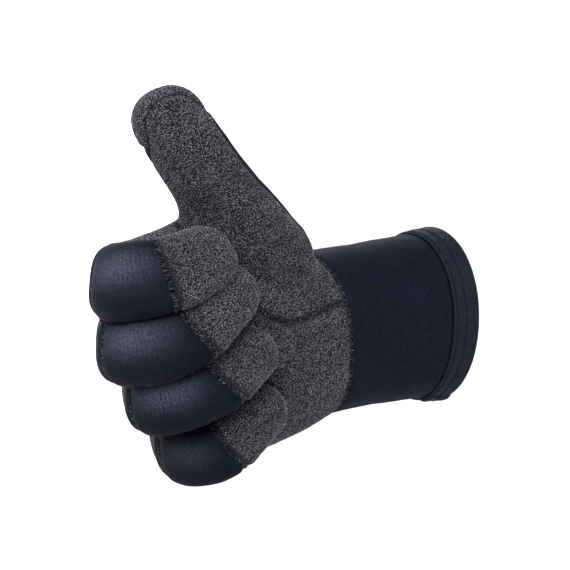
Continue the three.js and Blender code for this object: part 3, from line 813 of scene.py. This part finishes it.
class Signal:
    """A shader socket that can be added, subtracted, multiplied and divided."""

    def __init__(self, tree, socket):
        self.tree, self.socket = tree, socket

    def maths(self, operation, *terms):
        inputs = {f"i{k}": term for k, term in enumerate(terms)}
        node = add_node(self.tree, "ShaderNodeMath", dict(operation=operation), inputs)
        return Signal(self.tree, node.outputs[0])

    def __add__(self, other):
        return self.maths("ADD", self, other)

    def __radd__(self, other):
        return self.maths("ADD", other, self)

    def __sub__(self, other):
        return self.maths("SUBTRACT", self, other)

    def __rsub__(self, other):
        return self.maths("SUBTRACT", other, self)

    def __mul__(self, other):
        return self.maths("MULTIPLY", self, other)

    def __rmul__(self, other):
        return self.maths("MULTIPLY", other, self)

    def __truediv__(self, other):
        return self.maths("DIVIDE", self, other)

    def clamped(self, low, high):
        return self.maths("MINIMUM", self.maths("MAXIMUM", self, low), high)

    def sine(self):
        return self.maths("SINE", self)


class Finish:
    """A material in the making."""

    def __init__(self, name):
        self.material = bpy.data.materials.new(name)
        self.material.use_nodes = True
        self.tree = self.material.node_tree
        self.shader = self.tree.nodes["Principled BSDF"]
        self.place = self.node("ShaderNodeTexCoord", out="Object")

    def node(self, kind, out=0, settings=None, **inputs):
        return Signal(self.tree, add_node(self.tree, kind, settings, inputs).outputs[out])

    def stored(self, name):
        return self.node("ShaderNodeAttribute", out="Fac", settings=dict(attribute_name=name))

    def noise(self, size, detail=2.0, roughness=0.55):
        return self.node("ShaderNodeTexNoise", out="Fac", Vector=self.place, Scale=1 / size, Detail=detail,
                         Roughness=roughness)

    def blend(self, factor, low, high):
        return self.node("ShaderNodeMix", out=2, settings=dict(data_type="RGBA"), i0=factor, i6=(*low, 1),
                         i7=(*high, 1))

    def bump(self, height, distance, strength):
        return self.node("ShaderNodeBump", Height=height, Distance=distance, Strength=strength)

    def set(self, **inputs):
        for key, value in inputs.items():
            feed(self.tree, self.shader.inputs[key.replace("_", " ")], value)
        return self.material


# %% Navy jersey
def jersey(name, dark, light, shine, roughness, rib=0.0, mottle=0.3):
    """Smooth cloth. A painted highlight makes it paler and grainy where the stored highlight share is high,
    over the middle of each finger's pad.
    """
    cloth = Finish(name)
    lint = cloth.noise(0.7 * MM, detail=3.0, roughness=0.75)
    patches = cloth.noise(22 * MM, detail=2.0)
    grain = cloth.noise(0.5 * MM, detail=2.0, roughness=0.65)
    rise = grain
    # painted highlight: paler, grainy colour where the stored highlight share is high
    painted_highlight = (cloth.stored("painted_highlight") * ((lint - 0.5) * 3.6 + patches * 0.4 + 0.6)).clamped(0, 1)
    if rib:
        ribs = (cloth.stored("run") * (2 * math.pi / rib)).sine()
        rise = grain + ribs * 0.22
        painted_highlight = painted_highlight * (ribs * 0.12 + 0.88)
    mask = (painted_highlight + (lint - 0.42) * mottle + patches * 0.08).clamped(0, 1)
    return cloth.set(
        Base_Color=cloth.blend(mask, dark, light),
        Roughness=((lint - 0.5) * 0.3 + roughness).clamped(0, 1),
        Normal=cloth.bump(rise, 0.14 * MM, 0.6),
        Sheen_Weight=0.0, Specular_IOR_Level=shine)


# the pad jersey's light colour is mostly its painted highlight, and a little random mottle
pad_navy = jersey("pad_jersey", (0.0012, 0.0016, 0.004), (0.041, 0.046, 0.07), shine=0.03, roughness=0.65,
                  rib=1.1)
navy = jersey("cuff_jersey", (0.0013, 0.0022, 0.0049), (0.024, 0.031, 0.054), shine=0.04, roughness=0.75,
              mottle=0.9)
hem_navy = jersey("hem_jersey", (0.004, 0.0052, 0.0096), (0.03, 0.038, 0.066), shine=0.06, roughness=0.7,
                  mottle=0.8)
print("jersey finishes made")

# %% Grip cloth, its yarn, the lining, the foam's edge and the thread
def grip_cloth():
    cloth = Finish("grip_cloth")
    wander = cloth.node("ShaderNodeTexNoise", out="Color", Vector=cloth.place, Scale=1 / (1.6 * MM),
                        Detail=2.0)
    bent = cloth.node("ShaderNodeVectorMath", settings=dict(operation="MULTIPLY_ADD"), i0=wander,
                      i1=(0.0012, 0.0012, 0.0012), i2=cloth.place)
    flecks = cloth.node("ShaderNodeTexVoronoi", out="Distance", settings=dict(feature="SMOOTH_F1"),
                        Vector=bent, Scale=1 / (0.85 * MM), Smoothness=0.3)
    fine_grain = cloth.noise(0.5 * MM, detail=3.0, roughness=0.7)
    patches = cloth.noise(16 * MM)
    near_seam = (cloth.stored("edge") * 0.55 - 0.3).clamped(0, 1)
    pale = ((0.52 - flecks) * 3.0 + (fine_grain - 0.5) * 2.2 + (patches - 0.5) * 0.6).clamped(0, 1)
    pale = pale * near_seam
    return cloth.set(
        Base_Color=cloth.blend(pale, (0.0065, 0.0065, 0.0095), (0.088, 0.084, 0.1)),
        Roughness=(0.95 - pale * 0.12).clamped(0, 1),
        Normal=cloth.bump(pale + fine_grain * 0.5, 0.35 * MM, 0.8),
        Sheen_Weight=0.03, Sheen_Roughness=0.5, Specular_IOR_Level=0.08)


def yarn():
    cloth = Finish("pale_yarn")
    shade = cloth.noise(2.2 * MM, detail=3.0, roughness=0.75)
    patches = cloth.noise(14 * MM)
    mask = ((shade - 0.42) * 2.6 + (patches - 0.5) * 0.7).clamped(0, 1)
    return cloth.set(
        Base_Color=cloth.blend(mask, (0.055, 0.053, 0.062), (0.47, 0.455, 0.495)),
        Roughness=0.9 - mask * 0.1, Sheen_Weight=0.05, Sheen_Roughness=0.5, Specular_IOR_Level=0.1)


def plain(name, dark, light, size, roughness, contrast=1.0):
    cloth = Finish(name)
    mask = ((cloth.noise(size, detail=2.0) - 0.5) * contrast + 0.5 / contrast).clamped(0, 1)
    return cloth.set(Base_Color=cloth.blend(mask, dark, light), Roughness=roughness + mask * 0.1,
                     Normal=cloth.bump(mask, 0.1 * MM, 0.5), Specular_IOR_Level=0.15)


grip = grip_cloth()
pale_yarn = yarn()
lining = plain("lining_jersey", (0.006, 0.007, 0.011), (0.014, 0.016, 0.022), size=0.7 * MM, roughness=0.8)
foam_edge = plain("foam_edge", (0.003, 0.003, 0.0035), (0.008, 0.008, 0.009), size=0.4 * MM, roughness=0.75)
thread = plain("seam_thread", (0.0018, 0.0026, 0.0046), (0.085, 0.1, 0.125), size=1.3 * MM,
               roughness=0.6, contrast=3.0)
dark_thread = plain("hem_thread", (0.0003, 0.0007, 0.002), (0.002, 0.0045, 0.012), size=1.5 * MM,
                    roughness=0.9, contrast=2.0)
print("finishes:", [material.name for material in bpy.data.materials])

# %% The panels as pieces
SMOOTH = {"back_panel", "thumb_back", *(f"{name}_back" for name in names)}
pieces, outer_skins = {}, {}
for name, skin in panels.items():
    finish = [pad_navy if name in SMOOTH else grip, lining, foam_edge]
    pieces[name], outer_skins[name] = thick_piece(name + "_skin", skin, finish)
print("pieces:", {name: len(piece.data.polygons) for name, piece in pieces.items()})

# %% [markdown]
# ## Cuff and hem
# The cuff is a plain sleeve. Its mouth is bound by a thin band that folds over the edge and is sewn down with
# two rows of stitches. Rings around the wrist make both, the band as a closed profile that is carried round
# the mouth.

# %% The cuff's rings
hem_share = hem_width / cuff_length
# each row: along from mouth to wrist, share of the mouth's size over the wrist's, and squareness
cuff_rows = np.array([
    [0.0, 1.0, 0.97], [0.5 * hem_share, 0.7, 0.97], [hem_share, 0.45, 0.96], [0.6, -0.15, 0.9],
    [1.0, 0.0, 0.85]])
cuff_fine = np.linspace(-0.1, 1.1, 241)
cuff_curves = [np.interp(cuff_fine, cuff_rows[:, 0], cuff_rows[:, k]) for k in (1, 2)]
cuff_curves = [row + (smoothed(row, 14) - row) * ramp(cuff_fine, 0, 0.1) * ramp(1 - cuff_fine, 0, 0.1)
               for row in cuff_curves]


def cuff_points(along, stand, angle):
    """Points on the cuff, from how far along to the wrist seam, how proud of the sheet, and where around."""
    share, power = (np.interp(along, cuff_fine, row) for row in cuff_curves)
    half_width = (wrist_width + (mouth_width - wrist_width) * share) / 2 + stand
    half_depth = (wrist_depth + (mouth_depth - wrist_depth) * share) / 2 + stand
    cos, sin = np.cos(angle), np.sin(angle)
    z = half_width * np.sign(cos) * np.abs(cos) ** power - wrist_drop * along
    y = half_depth * np.sign(sin) * np.abs(sin) ** power
    slant = (wrist_slant + mouth_slant) * along - mouth_slant
    x = -along * cuff_length - slant * z - wrist_lean * along * y
    return np.stack([x, y, z], -1)


around = np.linspace(0, 2 * math.pi, 221)[:-1]
print("mouth, first point:", cuff_points(np.array([0.0]), 0.0, np.array([0.0])).round(1))

# %% The cuff's sleeve
sleeve_from = (hem_sheet + seam_gap) / cuff_length
sleeve_to = 1 - half_gap / cuff_length
sleeve_rows = np.concatenate([np.linspace(sleeve_from, hem_share, 10),
                              np.linspace(hem_share, sleeve_to, 52)[1:]])
sleeve_rows = np.sort(np.append(sleeve_rows, hem_share + np.array([0.4, 0.7, 1.0]) / cuff_length))
pressed = -hem_squeeze * (1 - ramp(sleeve_rows * cuff_length, hem_width + 0.1, hem_width + 1.1))
sleeve = cuff_points(sleeve_rows[:, None], pressed[:, None], around[None])
sleeve_faces = wrapped(*sleeve.shape[:2], closed_profile=False)
sleeve_normals = point_normals(sleeve.reshape(-1, 3), sleeve_faces)
if (sleeve_normals * (sleeve.reshape(-1, 3) - [-35, 0, 0]) * [0, 1, 1]).sum() < 0:
    sleeve_faces, sleeve_normals = sleeve_faces[:, ::-1], -sleeve_normals
edge = np.repeat((sleeve_to - sleeve_rows) * cuff_length, len(around))
rows = dict(edge=edge, fold=edge + 99, run=edge, painted_highlight=edge * 0)
cuff_skin = Skin(sleeve.reshape(-1, 3), sleeve_faces, sleeve_normals, rows)
pieces["cuff"], outer_skins["cuff"] = thick_piece("cuff_skin", cuff_skin, [navy, lining, foam_edge])
print("cuff:", len(pieces["cuff"].data.polygons), "faces")

# %% The hem
LAP_ANGLE, LAP_REACH, LAP_HEIGHT = math.radians(203), math.radians(6.5), 1.2
# the band's round edge: how far from the mouth, and how far in from its face
FOLD_ROUND = [(0.9, 0.15), (0.3, 0.7), (0.0, 1.7)]
inner_stand = -neoprene - seam_gap - hem_sheet
under_stand = seam_gap - hem_squeeze
outer_stand = under_stand + hem_sheet


def hem_profile():
    """The band's cross-section as pairs of along, in millimetres from the mouth, and stand."""
    path = [(hem_width, under_stand), (hem_width, outer_stand - 0.4), (hem_width - 0.4, outer_stand)]
    path += [(a, outer_stand) for a in np.linspace(hem_width - 1.5, 1.6, 12)]
    path += [(a, outer_stand - drop) for a, drop in FOLD_ROUND]
    path += [(0.0, s) for s in (-1.0, -3.0)]
    path += [(a, inner_stand + drop) for a, drop in reversed(FOLD_ROUND)]
    path += [(a, inner_stand) for a in np.linspace(1.6, hem_width - 0.5, 8)]
    path += [(hem_width, inner_stand + 0.5), (hem_width, -neoprene - seam_gap)]
    path += [(a, -neoprene - seam_gap) for a in np.linspace(hem_width - 2, hem_sheet, 6)]
    path += [(a, under_stand) for a in np.linspace(hem_sheet, hem_width - 2, 6)]
    return np.array(path)


def lap_height(angle):
    """How far the band's overlapped ends stand out, near one place of the mouth."""
    return LAP_HEIGHT * np.exp(-(np.abs(angle - LAP_ANGLE) / LAP_REACH) ** 6)


profile = hem_profile()
hem_around = np.linspace(0, 2 * math.pi, 301)[:-1]
stand = profile[:, 1][:, None] + np.zeros(len(hem_around))
outside = (profile[:, 1] > under_stand + 0.3)[:, None]
pucker = 0.08 * np.sin(hem_around * 34) + 0.1 * np.sin(hem_around * 13 + 1)
bulge = np.sin(np.clip(profile[:, 0], 0, hem_width) * math.pi / hem_width)[:, None]
stand = stand + outside * (lap_height(hem_around) + pucker * bulge)
hem = cuff_points(profile[:, 0][:, None] / cuff_length, stand, hem_around[None])
hem_faces = wrapped(*hem.shape[:2], closed_profile=True)
hem_piece = mesh_object("cuff_hem_band", hem.reshape(-1, 3), hem_faces, [hem_navy])
pieces["cuff_hem"] = hem_piece
corners = [hem.reshape(-1, 3)[hem_faces[:, k]] for k in range(3)]
volume = (corners[0] * np.cross(corners[1], corners[2])).sum() / 6
if volume < 0:
    hem_piece.data.flip_normals()
print("hem encloses", round(abs(volume) / 1000, 1), "cubic centimetres")

# %% [markdown]
# ## Stitches
# Panels are sewn with an overlock stitch: short threads that cross the seam side by side. One small arched
# thread is made once, and Geometry Nodes put a copy at each point of a seam, turned along it and standing on
# its normal.

# %% Seam lines
def level_lines(skin, name, *others):
    """Where a measure is nothing and the other measures are more than nothing, as ordered rows of points."""
    value = skin.rows[name]
    segments, places, normals = [], {}, {}
    crossing = (value > 0)[skin.faces].sum(1)
    for face in skin.faces[(crossing > 0) & (crossing < 3)].tolist():
        ends = []
        for a, b in zip(face, face[1:] + face[:1]):
            if (value[a] > 0) == (value[b] > 0):
                continue
            key = (min(a, b), max(a, b))
            share = value[a] / (value[a] - value[b])
            if all(skin.rows[o][a] * s > 0 for o, s in others):
                places[key] = skin.points[a] + (skin.points[b] - skin.points[a]) * share
                normals[key] = skin.normals[a] + (skin.normals[b] - skin.normals[a]) * share
                ends.append(key)
        if len(ends) == 2:
            segments.append(ends)
    links = {}
    for a, b in segments:
        links.setdefault(a, []).append(b)
        links.setdefault(b, []).append(a)
    left, lines = set(links), []
    while left:
        ends = [k for k in left if sum(n in left for n in links[k]) < 2]
        key = min(ends) if ends else min(left)
        chain = [key]
        left.discard(key)
        while True:
            following = [n for n in links[chain[-1]] if n in left]
            if not following:
                break
            chain.append(following[0])
            left.discard(following[0])
        if len(chain) > 8:
            lines.append((np.array([places[k] for k in chain]), np.array([normals[k] for k in chain])))
    return lines


def resampled(points, normals, spacing):
    """Places, normals and forward directions at equal steps along a line."""
    lengths = np.concatenate([[0], np.cumsum(np.linalg.norm(np.diff(points, axis=0), axis=1))])
    stops = np.arange(spacing / 2, lengths[-1], spacing)
    def soft(row):
        return np.stack([smoothed(np.interp(stops, lengths, row[:, k]), 2) for k in range(3)], 1)
    places, ups = soft(points), soft(normals)
    forward = np.gradient(places, axis=0)
    ups /= np.linalg.norm(ups, axis=1)[:, None]
    forward /= np.maximum(np.linalg.norm(forward, axis=1), 1e-9)[:, None]
    return places, ups, forward


STITCH_STEP = 1.2
seams = []


def sew(points, normals):
    if np.linalg.norm(np.diff(points, axis=0), axis=1).sum() > 4 * STITCH_STEP:
        seams.append(resampled(points, normals, STITCH_STEP))


for name, others in (("ball", [("side", -1), ("wrist", 1)]), ("side", [("wrist", 1), ("middle", 1)]),
                     ("cap", [("side", 1), ("thumb", 1)]), ("middle", [("side", 1), ("wrist", 1)]),
                     ("thumb", [("side", 1), ("wrist", 1)])):
    for line in level_lines(hand, name, *others):
        sew(*line)
wrist_ring = cuff_points(np.ones(400), 0.0, np.linspace(0, 2 * math.pi, 400))
wrist_up = wrist_ring * [0, 1, 1]
sew(wrist_ring, wrist_up / np.linalg.norm(wrist_up, axis=1)[:, None])
for skin in finger_skins.values():
    for line in level_lines(skin, "cap", ("side", 1)):
        sew(*line)
# the first column of a finger's points runs along its thumb side, the one half-way round along its other side
for name, column in (("index", 0), ("little", COLUMNS // 2)):
    grid, along = finger_grids[name]
    digit = fingers[name]
    centre = np.stack([np.interp(along, digit.along, digit.places[:, k]) for k in range(3)], 1)
    sew(grid[:, column], grid[:, column] - centre)
print("seams:", len(seams), "stitches:", sum(len(s[0]) for s in seams))

# %% [markdown]
# The thread is never drawn by hand at each place. A tree of nodes takes a base object, puts copies of one
# small shape on it, makes them real and gives them a finish, and the result is kept as a plain mesh.

# %% Geometry Nodes in short
class Growth:
    """A Geometry Nodes tree in the making. Its sizes are named inputs, and what it grows has one finish."""

    def __init__(self, name, **sizes):
        self.tree = bpy.data.node_groups.new(name, "GeometryNodeTree")
        face = self.tree.interface
        face.new_socket("Geometry", in_out="INPUT", socket_type="NodeSocketGeometry")
        for key, value in sizes.items():
            kind = "NodeSocketInt" if isinstance(value, int) else "NodeSocketFloat"
            face.new_socket(key.replace("_", " "), in_out="INPUT", socket_type=kind).default_value = value
        face.new_socket("Finish", in_out="INPUT", socket_type="NodeSocketMaterial")
        face.new_socket("Geometry", in_out="OUTPUT", socket_type="NodeSocketGeometry")
        self.given = self.tree.nodes.new("NodeGroupInput").outputs
        self.result = self.tree.nodes.new("NodeGroupOutput").inputs

    def node(self, kind, settings=None, **inputs):
        return add_node(self.tree, kind, settings, inputs).outputs

    def times(self, a, b):
        return self.node("ShaderNodeMath", dict(operation="MULTIPLY"), i0=a, i1=b)[0]

    def finished(self, copies):
        """The tree, after the copies are made real and given their finish."""
        real = self.node("GeometryNodeRealizeInstances", i0=copies)
        painted = self.node("GeometryNodeSetMaterial", Geometry=real[0], Material=self.given["Finish"])
        feed(self.tree, self.result[0], painted[0])
        return self.tree


def socket_ids(tree):
    return {item.name: item.identifier for item in tree.interface.items_tree if item.in_out == "INPUT"}


def grown(name, base, tree, **values):
    """The mesh that a tree makes from a base object. The base goes away."""
    modifier = base.modifiers.new("grow", "NODES")
    modifier.node_group = tree
    ids = socket_ids(tree)
    for key, value in values.items():
        modifier[ids[key.replace("_", " ")]] = value
    graph = bpy.context.evaluated_depsgraph_get()
    graph.update()
    mesh = bpy.data.meshes.new_from_object(base.evaluated_get(graph), depsgraph=graph)
    mesh.name = name
    base.modifiers.remove(modifier)
    bpy.data.objects.remove(base)
    made = bpy.data.objects.new(name, mesh)
    bpy.context.scene.collection.objects.link(made)
    return made


def dot_object(name, places, **vectors):
    made = mesh_object(name, places, [], [])
    for key, rows in vectors.items():
        layer = made.data.attributes.new(key, "FLOAT_VECTOR", "POINT")
        layer.data.foreach_set("vector", np.ascontiguousarray(rows, dtype=np.float32).ravel())
    return made


# %% A tree that lays stitches
def stitch_tree():
    """Puts an arched thread at each point, across the seam, from the attributes up and across."""
    grow = Growth("overlock_stitches", Stitch_length=2.6 * MM, Thread_radius=0.2 * MM, Arch_height=0.5 * MM)

    def point(length_share, height_share):
        return grow.node("ShaderNodeCombineXYZ", X=grow.times(grow.given["Stitch length"], length_share),
                         Z=grow.times(grow.given["Arch height"], height_share))[0]

    arc = grow.node("GeometryNodeCurveQuadraticBezier", Resolution=4, Start=point(-0.5, -1.0),
                    Middle=point(0.0, 1.6), End=point(0.5, -1.0))
    ring = grow.node("GeometryNodeCurvePrimitiveCircle", Resolution=5, Radius=grow.given["Thread radius"])
    tube = grow.node("GeometryNodeCurveToMesh", Curve=arc[0], Profile_Curve=ring[0], Fill_Caps=True)

    def aligned(axis, pivot, name, **rotation):
        way = grow.node("GeometryNodeInputNamedAttribute", dict(data_type="FLOAT_VECTOR"), Name=name)
        return grow.node("FunctionNodeAlignRotationToVector", dict(axis=axis, pivot_axis=pivot),
                         Vector=way["Attribute"], **rotation)[0]

    turn = aligned("X", "Z", "across", Rotation=aligned("Z", "AUTO", "up"))
    dots = grow.node("GeometryNodeMeshToPoints", Mesh=grow.given["Geometry"])
    copies = grow.node("GeometryNodeInstanceOnPoints", Points=dots[0], Instance=tube[0], Rotation=turn)
    return grow.finished(copies[0])


stitching = stitch_tree()
print("stitch tree:", len(stitching.nodes), "nodes, inputs", list(socket_ids(stitching)))

# %% Overlock stitches along the seams
random = np.random.RandomState(11)
places = np.concatenate([s[0] - s[1] * 0.7 + s[2] * random.normal(0, 0.22, (len(s[0]), 1)) for s in seams])
ups = np.concatenate([s[1] for s in seams])
across = np.concatenate([np.cross(s[1], s[2]) + s[2] * 0.3 for s in seams])
across = across + random.normal(0, 0.2, across.shape)
seam_stitches = grown("seam_stitches", dot_object("seam_dots", places, up=ups, across=across), stitching,
                      Stitch_length=2.2 * MM, Thread_radius=0.26 * MM, Arch_height=0.45 * MM, Finish=thread)
print("overlock:", len(seam_stitches.data.polygons), "faces")

# %% Two rows of stitches round the hem
HEM_STITCH = 1.6
ROWS_FROM_EDGE = (1.5, 5.9)
hem_rows = []
for from_edge in ROWS_FROM_EDGE:
    along = (hem_width - from_edge) / cuff_length
    angles = np.linspace(0, 2 * math.pi, 900)
    ring = cuff_points(np.full(len(angles), along), outer_stand + lap_height(angles), angles)
    hem_rows.append(resampled(ring, ring * [0, 1, 1], HEM_STITCH))
places, ups, forwards = (np.concatenate(parts) for parts in zip(*hem_rows))
hem_stitches = grown(
    "hem_stitches", dot_object("hem_dots", places, up=ups, across=forwards), stitching,
    Stitch_length=0.85 * MM, Thread_radius=0.42 * MM, Arch_height=0.25 * MM, Finish=dark_thread)
print("hem rows:", len(hem_stitches.data.polygons), "faces")

# %% [markdown]
# ## Yarn flecks
# The grip cloth is knitted with a slubby yarn: thousands of short pale bits stand out of a dark ground.
# Geometry Nodes scatter points over each textured panel, never closer than a set distance, and put a small
# squashed ball on each, turned at random.

# %% A tree that scatters flecks
def fleck_tree():
    """Scatters squashed balls over a surface, each turned at random about the surface's normal."""
    grow = Growth("yarn_flecks", Least_distance=1.2 * MM, Fleck_length=1.2 * MM, Fleck_width=0.5 * MM,
                  Fleck_height=0.4 * MM, Seed=3)
    given = grow.given
    scatter = grow.node("GeometryNodeDistributePointsOnFaces", dict(distribute_method="POISSON"),
                        Mesh=given["Geometry"], Distance_Min=given["Least distance"], Density_Max=2.2e6,
                        Seed=given["Seed"])

    def random_value(low, high, seed):
        return grow.node("FunctionNodeRandomValue", dict(data_type="FLOAT"), i2=low, i3=high, Seed=seed)[1]

    spin = grow.node("ShaderNodeCombineXYZ", Z=random_value(0, math.pi, 5))
    as_turn = grow.node("FunctionNodeEulerToRotation", i0=spin[0])
    turn = grow.node("FunctionNodeRotateRotation", dict(rotation_space="LOCAL"), i0=scatter["Rotation"],
                     i1=as_turn[0])
    size = grow.node("ShaderNodeCombineXYZ",
                     X=grow.times(given["Fleck length"], random_value(0.55, 1.25, 7)),
                     Y=grow.times(given["Fleck width"], random_value(0.75, 1.3, 8)),
                     Z=grow.times(given["Fleck height"], random_value(0.6, 1.3, 9)))
    ball = grow.node("GeometryNodeMeshUVSphere", Radius=0.5, Segments=4, Rings=3)
    soft = grow.node("GeometryNodeSetShadeSmooth", i0=ball["Mesh"])
    copies = grow.node("GeometryNodeInstanceOnPoints", Points=scatter["Points"], Instance=soft[0],
                       Rotation=turn[0], Scale=size[0])
    return grow.finished(copies[0])


flecking = fleck_tree()
print("fleck tree:", len(flecking.nodes), "nodes, inputs", list(socket_ids(flecking)))

# %% Flecks on the grip panels
FROM_SEAM, FROM_FOLD, SUNK = 1.0, 0.6, 0.05
fleck_homes = {
    "palm_flecks": ["palm_panel"],
    "thumb_flecks": ["thumb_front", "thumb_tip_cap"],
    "index_flecks": ["index_front", "index_tip_cap"],
    "middle_flecks": ["middle_front", "middle_tip_cap"],
    "ring_flecks": ["ring_front", "ring_tip_cap"],
    "little_flecks": ["little_front", "little_tip_cap"],
}
flecks = {}
for seed, (name, homes) in enumerate(fleck_homes.items()):
    points, faces, count = [], [], 0
    for home in homes:
        skin = panels[home]
        inland = (skin.rows["edge"] > FROM_SEAM) & (skin.rows["fold"] > FROM_FOLD)
        points.append(outer_skins[home] - skin.normals * SUNK)
        faces.append(skin.faces[inland[skin.faces].all(1)] + count)
        count += len(skin.points)
    base = mesh_object(name + "_ground", np.concatenate(points), np.concatenate(faces), [])
    flecks[name] = grown(name, base, flecking, Least_distance=0.95 * MM,
                         Fleck_length=0.95 * MM, Fleck_width=0.3 * MM, Fleck_height=0.55 * MM, Seed=seed + 3,
                         Finish=pale_yarn)
print("faces of the flecks:", {name: len(piece.data.polygons) for name, piece in flecks.items()})

# %% [markdown]
# ## What each piece stands for
# Each new piece replaces its solid and rides on the glove's one body. The neoprene pieces are soft foam.

# %% Places in the frame
for name, piece in pieces.items():
    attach(piece, "root")
    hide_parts(name)
    smooth = name in SMOOTH or name == "cuff"
    "hem_band" if name == "cuff_hem" else "smooth_neoprene" if smooth else "grip_cloth"
for piece in flecks.values():
    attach(piece, "root")
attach(seam_stitches, "root")
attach(hem_stitches, "root")
print("pieces on the glove:", len(pieces) + len(flecks) + 2)

# %% [markdown]
# ## Studio
# A pale floor that curves up behind the glove, a bright even world, and soft lights: a large one from the
# upper left, weaker ones from the left and the right, and a wash that keeps the background white.

# %% Floor
azimuth, elevation = math.radians(-30), math.radians(13)
FLOOR_LEVEL, FLOOR_HALF, BEND_FROM, BEND_RADIUS, WALL_TOP = -0.36, 3.0, 0.6, 0.9, 3.5
outline = [(y, FLOOR_LEVEL) for y in (-FLOOR_HALF, BEND_FROM)]
outline += [(BEND_FROM + BEND_RADIUS * math.sin(a), FLOOR_LEVEL + BEND_RADIUS * (1 - math.cos(a)))
            for a in np.linspace(0.1, math.pi / 2, 14)]
outline += [(BEND_FROM + BEND_RADIUS, WALL_TOP)]
points = np.array([(x, y, z) for x in (-FLOOR_HALF, FLOOR_HALF) for y, z in outline]) / MM
half = len(outline)
floor_faces = [(k, k + half, k + half + 1, k + 1) for k in range(half - 1)]
turn_to_camera = np.array([[math.cos(azimuth), -math.sin(azimuth), 0],
                           [math.sin(azimuth), math.cos(azimuth), 0], [0, 0, 1]])
pale_floor = Finish("pale_floor").set(Base_Color=(0.93, 0.93, 0.93, 1), Roughness=0.95,
                                      Specular_IOR_Level=0.1)
floor = mesh_object("floor", points @ turn_to_camera.T, floor_faces, [pale_floor])
print("floor:", len(floor_faces), "faces")

# %% World and lights
world = bpy.data.worlds.new("studio")
world.use_nodes = True
world.node_tree.nodes["Background"].inputs["Color"].default_value = (1, 1, 1, 1)
world.node_tree.nodes["Background"].inputs["Strength"].default_value = 0.4
bpy.context.scene.world = world

focus = Vector((-0.1, -0.005, 0.02))


def soft_light(name, azimuth, elevation, distance, size, power):
    a, e = math.radians(azimuth), math.radians(elevation)
    way = Vector((math.sin(a) * math.cos(e), -math.cos(a) * math.cos(e), math.sin(e)))
    data = bpy.data.lights.new(name, "AREA")
    data.size, data.energy = size, power
    light = bpy.data.objects.new(name, data)
    light.location = focus + way * distance
    light.rotation_euler = (-way).to_track_quat("-Z", "Y").to_euler()
    bpy.context.scene.collection.objects.link(light)
    return light


soft_light("key", azimuth=-38, elevation=42, distance=1.1, size=0.7, power=22)
soft_light("left", azimuth=-100, elevation=15, distance=1.2, size=0.7, power=6)
soft_light("right", azimuth=35, elevation=22, distance=1.2, size=0.7, power=4)
wash = soft_light("backdrop", azimuth=150, elevation=50, distance=1.3, size=2.0, power=90)
wash.rotation_euler = (Vector((-0.5, 0.8, 0.1))).to_track_quat("-Z", "Y").to_euler()
bpy.context.scene.view_settings.view_transform = "Standard"

# %% Camera
# metres from the glove's middle, and how much of the scene the picture spans there
DISTANCE, ACROSS = 0.95, 0.2565
MIDDLE, AIM = Vector((-0.102, 0, 0.015)), Vector((-0.0863, -0.00655, 0.0244))
back_way = Vector((math.sin(azimuth) * math.cos(elevation), -math.cos(azimuth) * math.cos(elevation),
                   math.sin(elevation)))
eye = MIDDLE + back_way * DISTANCE
data = bpy.data.cameras.new("camera")
data.sensor_width = 36
data.lens = 36 * DISTANCE / ACROSS
data.clip_start, data.clip_end = 0.05, 20
camera = bpy.data.objects.new("camera", data)
camera.location = eye
camera.rotation_euler = (AIM - eye).to_track_quat("-Z", "Y").to_euler()
bpy.context.scene.collection.objects.link(camera)
bpy.context.scene.camera = camera
print("lens:", round(data.lens, 1), "mm")
